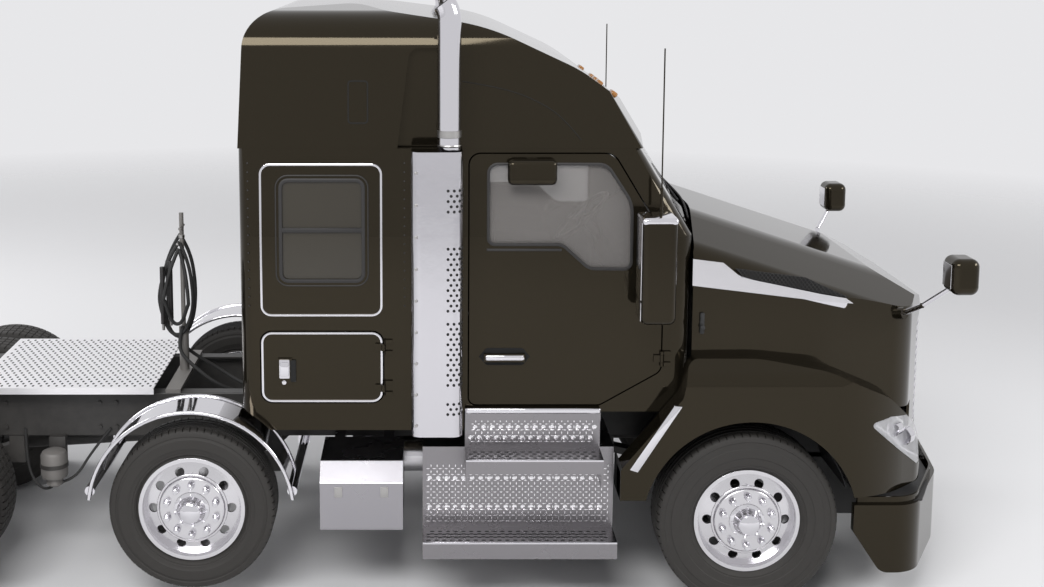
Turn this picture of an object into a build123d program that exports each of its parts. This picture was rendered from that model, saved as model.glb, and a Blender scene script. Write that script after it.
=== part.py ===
from build123d import *
import math
import os

# A four-axle highway tractor unit with a short sleeper, nose towards +X.
# Its left side is +Y, and Z is the height above the ground, in millimetres.

# Overall layout
overall_length = 8300
front_overhang = 1300
steer_to_pusher = 3110
steer_to_drive = 4750
drive_spread = 1320
front_x = overall_length / 2
rear_x = -overall_length / 2
steer_x = front_x - front_overhang
pusher_x = steer_x - steer_to_pusher
drive_x = [steer_x - steer_to_drive, steer_x - steer_to_drive - drive_spread]
tandem_x = sum(drive_x) / 2
sides = {"right": -1, "left": 1}

# Clearances
fit_gap = 0.3
pin_gap = 0.4
panel_gap = 8
hinge_y = 1064
door_hinge_z = [1420, 1960]
luggage_hinge_z = [1250, 1486]

# Wheels and tyres
rim_radius = 285
rim_flange = 298
rim_wall = 9
rim_half_width = 115
tyre_radius = 506
tyre_half_width = 146
pusher_tyre_radius = 464
pusher_tyre_half_width = 132
steer_track = 2070
pusher_track = 2120
dual_track = 1841
dual_spacing = 343
stud_circle = 142.9
stud_count = 10
hand_hole_circle = 218
hand_hole_radius = 27
disc_wall = 14
hub_bore = 100
drum_radius = 200
pusher_lift = 120
pusher_z = pusher_tyre_radius + pusher_lift
steer_y = steer_track / 2
pusher_y = pusher_track / 2
dual_y = dual_track / 2

# Frame
rail_half_width = 430
rail_height = 270
rail_flange = 90
rail_wall = 10
rail_top = 1020
rail_bottom = rail_top - rail_height
rail_front_x = front_x - 330
rail_seat_y = rail_half_width - rail_flange / 2
crossmember_length = 120
crossmember_height = 150
end_plate = 16

# Front axle and steering
kingpin_y = 895
kingpin_radius = 20
knuckle_boss = 48
axle_eye_height = 130
beam_width = 90
beam_height = 110
beam_drop = 90
spindle_radius = 38
steering_arm = 210
tie_rod_radius = 20

# Suspension
arm_width = 80
arm_height = 80
bag_radius = 110
axle_tube = 75
spring_width = 90

# Cab and sleeper
cab_half_width = 1050
cab_top_half_width = 1028
wall = 45
sleeper_rear_x = 12
cab_rear_x = 1262
cab_corner_x = 2520
cab_front_x = 2610
body_seam_z = 2600
belt_z = 2110
cab_floor_z = 1110
sleeper_skirt_z = 1002
sleeper_floor_z = 1060
floor_thickness = 40
screen_run = 412
screen_rise = 678
screen_slope = screen_run / screen_rise
roof_top_z = 3370
glass_thickness = 8

# Engine and gearbox
engine_front_x = 3600
engine_rear_x = cab_front_x + 40
gearbox_rear_x = 1530
gearbox_z = 760
joint_gap = 3.4

# Steering column and seats
driver_y = 520
column_angle = 48
steering_hub_x = 2080
steering_hub_z = 1935
column_x = math.cos(math.radians(column_angle))
column_z = -math.sin(math.radians(column_angle))
wheel_hub_half = 25
hub_seat = wheel_hub_half + fit_gap
wheel_hub_base = (steering_hub_x + hub_seat * column_x, driver_y, steering_hub_z + hub_seat * column_z)
column_length = 285
column_foot = (steering_hub_x + column_length * column_x, driver_y, steering_hub_z + column_length * column_z)

# Door, measured on the side of the cab
door_rear_x = 1290
door_front_x = 2362
door_bottom_z = 1152
door_top_z = 2570
door_thickness = 60

# Hood
hood_wall = 12
hood_gap = 14
nose_x = front_x - 30
nose_bottom_z = 685
fender_bottom_z = 668
fender_half_width = 1225
fender_flap_z = 655
arch_radius = 600
hood_pivot_x = front_x - 120
hood_pivot_z = 722
hood_lug_y = 250

# Bumper
bumper_top = 650
bumper_bottom = 215
bumper_band = 40
bumper_half_width = 1180
bumper_wall = 14

# Fifth wheel
fifth_wheel_top = 1245
fifth_wheel_pin_z = 1165
fifth_wheel_half_width = 450
fifth_wheel_length = 960
kingpin_bore = 26

# Deck, fenders, boxes and steps
deck_top = 1087
deck_half_width = 545
deck_front_x = -580
deck_length = 1100
sheet = 6
pusher_fender_radius = 570
pusher_fender_width = 300
tube_radius = 28
step_reach = 1272
step_box_y = 1052
stack_x = 1175
stack_y = 1160
stack_radius = 63.5
stack_top = 3430
muffler_x = 1134
muffler_radius = 88
tube_z = 695

# Openings as corners with a radius: the screen and grille seen from the front, the others from the side
screen_outline = [(-880, 2150, 70), (880, 2150, 70), (800, 2560, 70), (-800, 2560, 70)]
sleeper_window = [(247, 1862, 40), (701, 1862, 40), (701, 2423, 40), (247, 2423, 40)]
luggage_outline = [(129, 1166, 60), (808, 1166, 60), (808, 1570, 60), (129, 1570, 60)]
headlight_outline = [(3500, 1085, 20), (3640, 1110, 60), (4000, 1050, 0), (4000, 765, 0), (3860, 765, 30),
                     (3700, 905, 40)]
intake_outline = [(2790, 1846, 30), (3400, 1690, 12), (3420, 1722, 12), (2790, 1932, 30)]
bar_count = 13
grille_bottom_z = 800
grille_top_z = 1470
grille_outline = [(-400, grille_bottom_z, 60), (400, grille_bottom_z, 60), (440, grille_top_z, 90),
                  (-440, grille_top_z, 90)]


def rounded_face(corners):
    """Face in the XY plane from corners (x, y, radius), sharp where the radius is 0."""
    trims = []
    count = len(corners)
    for index, (x, y, radius) in enumerate(corners):
        here = Vector(x, y)
        if radius == 0:
            trims.append((here, here, here))
            continue
        back = (Vector(*corners[index - 1][:2]) - here).normalized()
        ahead = (Vector(*corners[(index + 1) % count][:2]) - here).normalized()
        half_angle = math.radians(back.get_angle(ahead)) / 2
        reach = radius / math.tan(half_angle)
        centre = here + (back + ahead).normalized() * (radius / math.sin(half_angle))
        middle = centre + (here - centre).normalized() * radius
        trims.append((here + back * reach, middle, here + ahead * reach))
    edges = []
    for index, (start, middle, end) in enumerate(trims):
        if (end - start).length > 0.001:
            edges.append(ThreePointArc(start, middle, end))
        following = trims[(index + 1) % count][0]
        if (following - end).length > 0.001:
            edges.append(Line(end, following))
    return make_face(edges)


def across(corners, y_from, y_to):
    """Side outline of corners (x, z, radius), drawn out across the vehicle."""
    face = Plane.XZ.offset(-y_from) * rounded_face(corners)
    return extrude(face, amount=y_to - y_from, dir=(0, 1, 0))


def along(corners, x_from, x_to):
    """Front outline of corners (y, z, radius), drawn out along the vehicle."""
    face = Plane.YZ.offset(x_from) * rounded_face(corners)
    return extrude(face, amount=x_to - x_from, dir=(1, 0, 0))


def upright(corners, z_from, z_to):
    """Plan outline of corners (x, y, radius), drawn upwards."""
    face = Plane.XY.offset(z_from) * rounded_face(corners)
    return extrude(face, amount=z_to - z_from, dir=(0, 0, 1))


def block(x_from, x_to, y_from, y_to, z_from, z_to):
    """Box between two corners."""
    box = Box(abs(x_to - x_from), abs(y_to - y_from), abs(z_to - z_from))
    return Pos((x_from + x_to) / 2, (y_from + y_to) / 2, (z_from + z_to) / 2) * box


def rod(start, end, radius):
    """Round bar from one point to another."""
    start = Vector(*start)
    end = Vector(*end)
    plane = Plane(origin=start, z_dir=(end - start).normalized())
    return extrude(plane * Circle(radius), amount=(end - start).length)


def rounded_box(x_from, x_to, y_from, y_to, z_from, z_to, radius):
    """Box whose edges along the vehicle are rounded."""
    corners = [(y_from, z_from, radius), (y_to, z_from, radius), (y_to, z_to, radius), (y_from, z_to, radius)]
    return along(corners, x_from, x_to)


def mirrored(shape):
    """The same shape on the other side of the vehicle."""
    return mirror(shape, about=Plane.XZ)


def group(*shapes):
    """Solids that don't touch, kept in one node."""
    solids = []
    for shape in shapes:
        solids.extend(shape.solids())
    return Compound(children=solids)


def save(name, shape):
    """Write one node."""
    export_step(shape, f"parts/{name}.step")


# Wheels, drawn about the Y axis with their outer side towards +Y

def tyre(radius, half_width):
    """Closed tyre body seated on the rim, with rounded shoulders and bulged walls."""
    bead = rim_half_width - 5 - fit_gap
    seat = rim_radius + fit_gap
    wall_radius = rim_flange + (radius - rim_flange) / 2
    shoulder = half_width * 0.78
    profile = [
        (seat, -bead, 0),
        (rim_flange + 3, -bead, 0),
        (rim_flange + 25, -half_width + 8, 12),
        (wall_radius, -half_width, 60),
        (radius - 14, -half_width + 12, 18),
        (radius, -shoulder, 22),
        (radius, shoulder, 22),
        (radius - 14, half_width - 12, 18),
        (wall_radius, half_width, 60),
        (rim_flange + 25, half_width - 8, 12),
        (rim_flange + 3, bead, 0),
        (seat, bead, 0),
    ]
    return revolve(rounded_face(profile), axis=Axis.Y)


def ring_of(shape, count):
    """Copies of a shape round the Y axis."""
    return [Rot(0, 360 * index / count, 0) * shape for index in range(count)]


def rim_barrel():
    """Outer shell of a rim between its two flanges."""
    inner = rim_radius - rim_wall
    profile = [
        (inner, -rim_half_width, 0),
        (rim_flange, -rim_half_width, 2),
        (rim_flange, -rim_half_width + 5, 0),
        (rim_radius, -rim_half_width + 5, 0),
        (rim_radius, rim_half_width - 5, 0),
        (rim_flange, rim_half_width - 5, 0),
        (rim_flange, rim_half_width, 2),
        (inner, rim_half_width, 0),
    ]
    return revolve(rounded_face(profile), axis=Axis.Y)


def rim_disc(face_offset, bolt_offset):
    """Dished disc from the barrel to the stud circle, with hand holes."""
    inner = rim_radius - rim_wall + 1
    lean = (bolt_offset - face_offset) * 0.55
    profile = [
        (inner, face_offset - disc_wall, 0),
        (inner, face_offset, 0),
        (248, face_offset + lean * 0.3, 14),
        (190, face_offset + lean, 20),
        (178, bolt_offset, 12),
        (hub_bore, bolt_offset, 0),
        (hub_bore, bolt_offset - disc_wall, 0),
        (184, bolt_offset - disc_wall, 10),
        (196, face_offset + lean - disc_wall, 20),
        (248, face_offset + lean * 0.3 - disc_wall, 10),
    ]
    disc = revolve(rounded_face(profile), axis=Axis.Y)
    reach = abs(bolt_offset - face_offset) + 60
    hole = rod(
        (hand_hole_circle, face_offset - reach, 0), (hand_hole_circle, face_offset + reach, 0), hand_hole_radius
    )
    for cut in ring_of(hole, stud_count):
        disc -= cut
    return disc


def hub(bolt_offset, cap_length, cap_radius, drum_inset):
    """Hub, brake drum, domed cap and the ring of wheel nuts."""
    drum_end = bolt_offset - disc_wall
    hub_inner = drum_inset + 10
    profile = [
        (spindle_radius + pin_gap, hub_inner, 0),
        (70, hub_inner, 0),
        (70, drum_end - 16, 0),
        (drum_radius - 18, drum_end - 16, 6),
        (drum_radius - 18, drum_inset, 0),
        (drum_radius, drum_inset, 0),
        (drum_radius, drum_end, 8),
        (hub_bore - 1, drum_end, 0),
        (hub_bore - 1, bolt_offset + 4, 0),
        (cap_radius + 14, bolt_offset + 8, 4),
        (cap_radius, bolt_offset + cap_length * 0.55, 6),
        (cap_radius * 0.8, bolt_offset + cap_length, 14),
        (0, bolt_offset + cap_length, 0),
        (0, drum_end - 4, 0),
        (spindle_radius + pin_gap, drum_end - 4, 0),
    ]
    body = revolve(rounded_face(profile), axis=Axis.Y)
    nut = rod((stud_circle, bolt_offset - 2, 0), (stud_circle, bolt_offset + 30, 0), 17)
    for stud in ring_of(Rot(0, 180 / stud_count, 0) * nut, stud_count):
        body += stud
    return body


def single_rim():
    """Rim of a steer or pusher wheel, its disc bulging outwards."""
    return rim_barrel() + rim_disc(72, 112) + hub(112, 62, 72, -45)


def dual_rims():
    """Two rims back to back on one hub, the outer disc dished inwards."""
    half = dual_spacing / 2
    outer = Pos(0, half, 0) * (rim_barrel() + rim_disc(-95, disc_wall - half))
    inner = mirror(outer, about=Plane.XZ)
    return outer + inner + hub(disc_wall, 150, 74, -200)


def dual_tyres():
    """The two tyres of a dual wheel."""
    half = dual_spacing / 2
    return group(Pos(0, half, 0) * tyre(tyre_radius, tyre_half_width),
                 Pos(0, -half, 0) * tyre(tyre_radius, tyre_half_width))


def placed(shape, side, x, y, z):
    """A wheel piece set on its side of the vehicle with its outer side outwards."""
    if side < 0:
        shape = mirrored(shape)
    return Pos(x, side * y, z) * shape


# Chassis

def frame_rails():
    """Two channel rails joined by crossmembers, with the fifth wheel brackets on top."""
    web = rail_half_width - rail_wall
    inner = rail_half_width - rail_flange
    corners = [
        (inner, rail_bottom, 0),
        (rail_half_width, rail_bottom, 8),
        (rail_half_width, rail_top, 8),
        (inner, rail_top, 0),
        (inner, rail_top - rail_wall, 0),
        (web, rail_top - rail_wall, 0),
        (web, rail_bottom + rail_wall, 0),
        (inner, rail_bottom + rail_wall, 0),
    ]
    rail = along(corners, rear_x + end_plate, rail_front_x)
    frame = rail + mirrored(rail)
    crossmember_z = rail_top - 25
    for x in [rail_front_x - 90, 1450, 380, deck_front_x - 300, tandem_x, rear_x + 400]:
        half = crossmember_length / 2
        bar = block(x - half, x + half, -web - 1, web + 1, crossmember_z - crossmember_height, crossmember_z)
        frame += bar
    for x, seat_z in [(120, sleeper_floor_z), (1150, sleeper_floor_z), (1400, cab_floor_z), (2380, cab_floor_z)]:
        for side in sides.values():
            y = side * rail_seat_y
            frame += block(x - 45, x + 45, y - 40, y + 40, rail_top - 1, seat_z - fit_gap)
    frame += block(rear_x, rear_x + end_plate + 1, -rail_half_width, rail_half_width, rail_bottom, rail_top)
    for side in sides.values():
        frame += across([
            (tandem_x - 260, rail_top - 1, 0),
            (tandem_x + 260, rail_top - 1, 0),
            (tandem_x + 80, fifth_wheel_pin_z + 35, 30),
            (tandem_x - 80, fifth_wheel_pin_z + 35, 30),
        ], side * rail_half_width - 20 if side < 0 else rail_half_width - 20,
            side * rail_half_width + 20 if side < 0 else rail_half_width + 20)
    pin = rod((tandem_x, rail_half_width - 60, fifth_wheel_pin_z), (tandem_x, rail_half_width, fifth_wheel_pin_z), 22)
    return frame + pin + mirrored(pin)


def fifth_wheel():
    """Coupling plate with its flared slot and throat, and the lugs that hang on the pins."""
    half = fifth_wheel_length / 2
    front = tandem_x + half
    rear = tandem_x - half
    plate = upright([
        (front - 160, -fifth_wheel_half_width, 120),
        (front, -fifth_wheel_half_width + 150, 120),
        (front, fifth_wheel_half_width - 150, 120),
        (front - 160, fifth_wheel_half_width, 120),
        (rear + 120, fifth_wheel_half_width, 60),
        (rear, 250, 40),
        (rear, 160, 20),
        (tandem_x - 60, 45, 0),
        (tandem_x - 60, -45, 0),
        (rear, -160, 20),
        (rear, -250, 40),
        (rear + 120, -fifth_wheel_half_width, 60),
    ], fifth_wheel_top - 28, fifth_wheel_top)
    plate -= Pos(tandem_x, 0, fifth_wheel_top) * Cylinder(kingpin_bore, 120)
    plate -= block(tandem_x - 80, tandem_x, -kingpin_bore, kingpin_bore, fifth_wheel_top - 60, fifth_wheel_top + 10)
    for side in sides.values():
        y = side * (rail_half_width - 45)
        lug = block(tandem_x - 110, tandem_x + 110, y - 18, y + 18, fifth_wheel_pin_z - 20, fifth_wheel_top - 27)
        lug += rod((tandem_x, y - 18, fifth_wheel_pin_z), (tandem_x, y + 18, fifth_wheel_pin_z), 42)
        lug -= rod((tandem_x, y - 30, fifth_wheel_pin_z), (tandem_x, y + 30, fifth_wheel_pin_z), 22 + pin_gap)
        plate += lug
        rib_y = side * 150
        plate += block(tandem_x + 60, front - 120, rib_y - 12, rib_y + 12, fifth_wheel_top - 75, fifth_wheel_top - 27)
    return plate


def front_suspension():
    """Dropped I-beam axle with kingpin eyes, on two leaf springs hung below the rails."""
    top = tyre_radius + beam_height / 2
    bottom = tyre_radius - beam_height / 2
    half = beam_width / 2
    drop = [
        (-kingpin_y, bottom, 0),
        (-kingpin_y + 180, bottom, 40),
        (-kingpin_y + 330, bottom - beam_drop, 60),
        (kingpin_y - 330, bottom - beam_drop, 60),
        (kingpin_y - 180, bottom, 40),
        (kingpin_y, bottom, 0),
        (kingpin_y, top, 0),
        (kingpin_y - 200, top, 40),
        (kingpin_y - 350, top - beam_drop, 60),
        (-kingpin_y + 350, top - beam_drop, 60),
        (-kingpin_y + 200, top, 40),
        (-kingpin_y, top, 0),
    ]
    beam = along(drop, steer_x - half, steer_x + half)
    for side in sides.values():
        eye = Pos(steer_x, side * kingpin_y, tyre_radius) * Cylinder(knuckle_boss, axle_eye_height)
        beam += eye
        beam -= Pos(steer_x, side * kingpin_y, tyre_radius) * Cylinder(kingpin_radius + pin_gap, 3 * beam_height)
        y = side * rail_seat_y
        leaf = across([
            (steer_x - 720, rail_bottom - 90, 0),
            (steer_x - 300, top - 5, 500),
            (steer_x + 300, top - 5, 500),
            (steer_x + 650, rail_bottom - 90, 0),
            (steer_x + 650, rail_bottom - 48, 0),
            (steer_x + 300, top + 40, 500),
            (steer_x - 300, top + 40, 500),
            (steer_x - 720, rail_bottom - 48, 0),
        ], y - spring_width / 2, y + spring_width / 2)
        seat = block(steer_x - 70, steer_x + 70, y - 45, y + 45, top - beam_drop - 20, top + 10)
        front_hanger = block(steer_x + 590, steer_x + 680, y - 45, y + 45, rail_bottom - 110, rail_bottom)
        rear_hanger = block(steer_x - 750, steer_x - 660, y - 45, y + 45, rail_bottom - 110, rail_bottom)
        beam += leaf + seat + front_hanger + rear_hanger
    return beam


def trailing_arm(axle_x, axle_z, side):
    """Arm from a hanger under the rail, over the axle, to an air bag behind it."""
    y = side * rail_seat_y
    half = arm_width / 2
    level = axle_z + arm_height / 2
    arm = across([
        (axle_x + 500, rail_bottom - 150, 20),
        (axle_x + 500, rail_bottom - 60, 20),
        (axle_x + 400, rail_bottom - 60, 30),
        (axle_x + 60, level + 40, 40),
        (axle_x - 450, level + 20, 20),
        (axle_x - 450, level - 50, 20),
        (axle_x + 60, level - 50, 40),
    ], y - half, y + half)
    hanger = block(axle_x + 410, axle_x + 500, y - half, y + half, rail_bottom - 170, rail_bottom)
    bag_z = level + 20
    if bag_z > rail_bottom - 60:
        return arm + hanger
    bag = Pos(axle_x - 340, y, (bag_z + rail_bottom) / 2 - 1) * Cylinder(bag_radius, rail_bottom - bag_z + 2)
    bag = bag & block(axle_x - 500, axle_x - 200, y - 200, y + 200, 0, rail_bottom)
    return arm + hanger + bag


def drive_axle(axle_x):
    """Axle tube with its gear housing, spindle ends and trailing arms."""
    spindle_end = dual_y - 10
    axle = rod((axle_x, -dual_y + 215, tyre_radius), (axle_x, dual_y - 215, tyre_radius), axle_tube)
    axle += rod((axle_x, -spindle_end, tyre_radius), (axle_x, spindle_end, tyre_radius), spindle_radius)
    housing = Pos(axle_x, 0, tyre_radius + 10) * Sphere(200)
    housing += rod((axle_x - 230, 0, tyre_radius + 60), (axle_x + 250, 0, tyre_radius + 60), 70)
    axle += housing
    for side in sides.values():
        axle += trailing_arm(axle_x, tyre_radius, side)
    return axle


def pusher_suspension():
    """Lifted dead axle on arms and short lift bags."""
    spindle_end = pusher_y + 85
    drop = 140
    low_z = pusher_z - drop
    tube = axle_tube - 15
    axle = rod((pusher_x, -480, low_z), (pusher_x, 480, low_z), tube)
    for side in sides.values():
        axle += rod((pusher_x, side * 480, low_z), (pusher_x, side * 640, pusher_z), tube)
        axle += Pos(pusher_x, side * 480, low_z) * Sphere(tube)
        axle += Pos(pusher_x, side * 640, pusher_z) * Sphere(tube)
        axle += rod((pusher_x, side * 640, pusher_z), (pusher_x, side * (pusher_y - 60), pusher_z), tube)
        axle += block(pusher_x - 50, pusher_x + 50, side * rail_seat_y - 40, side * rail_seat_y + 40, low_z, pusher_z)
    for side in sides.values():
        y = side * rail_seat_y
        axle += rod((pusher_x, side * 640, pusher_z), (pusher_x, side * spindle_end, pusher_z), spindle_radius)
        axle += block(pusher_x - 330, pusher_x + 420, y - 40, y + 40, pusher_z - 30, pusher_z + 40)
        axle += block(pusher_x + 340, pusher_x + 420, y - 40, y + 40, pusher_z - 60, rail_bottom)
        axle += Pos(pusher_x - 240, y, (pusher_z + 40 + rail_bottom) / 2) * Cylinder(
            bag_radius - 15, rail_bottom - pusher_z - 40)
    return axle


def driveshaft():
    """Shafts from the gearbox to the first drive axle and between the two."""
    shaft_z = tyre_radius + 60
    front = rod((drive_x[0] + 250 + joint_gap, 0, shaft_z), (gearbox_rear_x - joint_gap, 0, gearbox_z), 50)
    middle = rod((drive_x[1] + 250 + fit_gap, 0, shaft_z), (drive_x[0] - 230 - fit_gap, 0, shaft_z), 50)
    return group(front, middle)


def engine():
    """Engine as one plain block, with its gearbox running back under the cab."""
    block_part = along([(-300, 640, 60), (300, 640, 60), (330, 1620, 90), (-330, 1620, 90)],
                       engine_rear_x, engine_front_x)
    gearbox = along([(-230, 640, 90), (230, 640, 90), (230, 1060, 90), (-230, 1060, 90)],
                    gearbox_rear_x + 350, engine_rear_x + 1)
    tail = rod((gearbox_rear_x, 0, gearbox_z), (gearbox_rear_x + 351, 0, gearbox_z), 110)
    body = block_part + gearbox + tail
    web = rail_half_width - rail_wall - fit_gap
    for x in [engine_rear_x + 250, engine_front_x - 150]:
        body += block(x - 50, x + 50, -web, web, 860, 930)
    return body


def radiator():
    """Radiator core and tanks behind the grille, on the front of the rails."""
    x = engine_front_x + 60
    core = block(x, x + 90, -440, 440, rail_top + 10, 1560)
    core += block(x + 10, x + 80, -400, 400, rail_top, rail_top + 11)
    core += rounded_box(x - 10, x + 100, -450, 450, 1540, 1590, 20)
    return core


def knuckle(side):
    """Steering knuckle: two ears and a kingpin round the axle eye, and the wheel spindle."""
    half_eye = axle_eye_height / 2 + 5
    x = steer_x
    y = kingpin_y
    z = tyre_radius
    plate_y = kingpin_y + knuckle_boss + 9
    ear = Cylinder(knuckle_boss, 40)
    body = Pos(x, y, z + half_eye + 20) * ear + Pos(x, y, z - half_eye - 20) * ear
    for level in [z + half_eye + 20, z - half_eye - 20]:
        body += block(x - knuckle_boss, x + knuckle_boss, y, plate_y + 1, level - 20, level + 20)
    body += block(x - 60, x + 60, plate_y, plate_y + 26, z - half_eye - 40, z + half_eye + 40)
    body += rod((x, plate_y + 20, z), (x, steer_y + 90, z), spindle_radius)
    body += Pos(x, y, z) * Cylinder(kingpin_radius, 2 * half_eye + 60)
    arm_z = z - half_eye - 20
    body += block(x - steering_arm, x, y - 22, y + 22, arm_z - 14, arm_z + 14)
    body += Pos(x - steering_arm, y, arm_z) * Cylinder(30, 28)
    body -= Pos(x - steering_arm, y, arm_z) * Cylinder(12 + pin_gap, 60)
    if side < 0:
        return mirrored(body)
    return body


def tie_rod():
    """Track rod under the two steering arms, with a pin up through each arm's eye."""
    x = steer_x - steering_arm
    arm_z = tyre_radius - axle_eye_height / 2 - 25
    rod_z = arm_z - 14 - 8 - tie_rod_radius
    body = rod((x, -kingpin_y, rod_z), (x, kingpin_y, rod_z), tie_rod_radius)
    for side in sides.values():
        body += Pos(x, side * kingpin_y, rod_z) * Cylinder(28, 2 * tie_rod_radius + 6)
        body += Pos(x, side * kingpin_y, (rod_z + arm_z) / 2 + 8) * Cylinder(12, arm_z - rod_z + 24)
    return body


def air_tanks():
    """Air reservoirs slung under the rails."""
    tanks = []
    for side in sides.values():
        y = side * rail_seat_y
        radius = 110
        z = rail_bottom - radius - 12
        tank = rod((600, y, z), (1300, y, z), radius)
        for x in [700, 1200]:
            tank += block(x - 20, x + 20, y - 22, y + 22, z, rail_bottom - fit_gap)
        tanks.append(tank)
    return group(*tanks)


def deck():
    """Tread plate over the rails behind the sleeper, with its bearers and folded edges."""
    rear = deck_front_x - deck_length
    plate = block(rear, deck_front_x, -deck_half_width, deck_half_width, deck_top - sheet, deck_top)
    for side in sides.values():
        y = side * deck_half_width
        plate += block(rear, deck_front_x, y - side * sheet, y, deck_top - 40, deck_top)
    for x in [rear + 80, (rear + deck_front_x) / 2, deck_front_x - 80]:
        plate += block(x - 30, x + 30, -rail_half_width, rail_half_width, rail_top, deck_top - sheet + 1)
    return plate


def pusher_fenders():
    """Two half-round fenders with rolled edges, on tubes that cross below the rails."""
    inner_y = pusher_y + 145 - pusher_fender_width
    outer_y = pusher_y + 145
    radius = pusher_fender_radius
    ring = Pos(pusher_x, (inner_y + outer_y) / 2, pusher_z) * Rot(90, 0, 0) * Cylinder(radius, pusher_fender_width)
    ring -= Pos(pusher_x, (inner_y + outer_y) / 2, pusher_z) * Rot(90, 0, 0) * Cylinder(radius - sheet, 2000)
    fender = ring & block(pusher_x - 700, pusher_x + 700, inner_y - 20, outer_y + 20, pusher_z + 70, pusher_z + 700)
    for y in [inner_y, outer_y]:
        bead = Pos(pusher_x, y, pusher_z) * Rot(90, 0, 0) * Torus(radius, 11)
        fender += bead & block(pusher_x - 700, pusher_x + 700, y - 30, y + 30, pusher_z + 70, pusher_z + 700)
    for x in [pusher_x - radius + 6, pusher_x + radius - 6]:
        fender += rod((x, rail_seat_y - 25, tube_z), (x, outer_y - 20, tube_z), tube_radius)
        fender += block(x - 35, x + 35, rail_seat_y - 25, rail_seat_y + 25, tube_z, rail_bottom)
    return group(fender, mirrored(fender))


def cab_steps():
    """Stepped box under each door, with two treads standing out and a grab bar along the sill."""
    low_rear = 1030
    low_front = 2108
    top_rear = 1268
    top_front = 2026
    low_top = 905
    tread_y = step_reach
    body = block(low_rear, low_front, 560, step_box_y, 395, low_top)
    body += block(low_rear, low_front, 560, tread_y - 8, 400, 400 + 30)
    body += block(low_rear, low_front, tread_y - 9, tread_y, 335, 400 + 30)
    body += block(top_rear, top_front, 700, step_box_y + 18, low_top - 1, cab_floor_z - 12)
    body += block(top_rear, top_front, step_box_y, tread_y - 8, low_top - 26, low_top)
    body += block(top_rear, top_front, tread_y - 9, tread_y, low_top - 80, low_top)
    for x in [top_rear + 6, top_front - 6]:
        body += across([(x - 6, low_top - 160, 0), (x + 6, low_top - 160, 0), (x + 6, low_top - 10, 0),
                        (x - 6, low_top - 10, 0)], step_box_y - 1, tread_y - 9)
    body += block(top_rear, top_front, step_box_y + 17, step_box_y + 38, cab_floor_z - 40, cab_floor_z + 28)
    for x in [low_rear + 120, low_front - 160]:
        body += block(x - 40, x + 40, rail_half_width, 561, 800, 880)
    return group(body, mirrored(body))


def side_boxes():
    """Polished box under the sleeper on each side, its upper front face slanted."""
    body = along([
        (700, 460, 0),
        (1175, 460, 12),
        (1175, 735, 12),
        (1090, 840, 12),
        (700, 840, 0),
    ], 456, 920)
    for x in [540, 830]:
        body += block(x - 30, x + 30, rail_half_width, 701, 780, 835)
    return group(body, mirrored(body))


def exhaust():
    """Muffler, stack with a turned-out mouth, and the brackets to the sleeper's side."""
    y = stack_y
    muffler = Pos(muffler_x, y, 1800) * Cylinder(muffler_radius, 1500)
    muffler = fillet(muffler.edges().filter_by(GeomType.CIRCLE), 35)
    path_top = stack_top - 120
    stack = Pos(stack_x, y, (2400 + path_top) / 2) * Cylinder(stack_radius, path_top - 2400)
    bend = revolve(Pos(stack_x, y, path_top) * Circle(stack_radius),
                   axis=Axis((stack_x - 150, y, path_top), (0, -1, 0)), revolution_arc=38)
    body = muffler + stack + bend
    for z in [1250, 2450]:
        body += block(muffler_x - 30, muffler_x + 30, cab_half_width, y, z - 20, z + 20)
    return group(body, mirrored(body))


def heat_shields():
    """Bright guard folded round each muffler, open towards the cab, perforated at its front edge."""
    rear = 967
    front = 1249
    outer = stack_y + muffler_radius + 20
    inner = cab_half_width + 8
    skin = 4
    z_from = 1035
    z_to = 2612
    guard = upright([(rear, inner, 0), (front, inner, 0), (front, outer, 55), (rear, outer, 55)], z_from, z_to)
    guard -= upright([(rear + skin, inner - 1, 0), (front - skin, inner - 1, 0), (front - skin, outer - skin, 51),
                      (rear + skin, outer - skin, 51)], z_from - 1, z_to + 1)
    for z in [1350, 2350]:
        guard += block(muffler_x - 25, muffler_x + 25, stack_y + muffler_radius, outer - 1, z - 15, z + 15)
    return group(guard, mirrored(guard))


def bumper_solid(inset):
    """Bumper envelope: wrapped round in plan, its rear lower corners cut away, its chin rounded."""
    half = bumper_half_width - inset
    nose = front_x - inset
    plan = upright([
        (3440 + inset, -half, 0),
        (3790, -half, 190),
        (nose - 70, -640, 380),
        (nose, -200, 300),
        (nose, 200, 300),
        (nose - 70, 640, 380),
        (3790, half, 190),
        (3440 + inset, half, 0),
    ], bumper_bottom, bumper_top)
    side = across([
        (3430, bumper_top + 10, 0),
        (3430, 470, 60),
        (3600, bumper_bottom, 80),
        (front_x - inset + 5, bumper_bottom, 110),
        (front_x - inset + 5, bumper_top + 10, 0),
    ], -half - 10, half + 10)
    return plan & side


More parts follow.
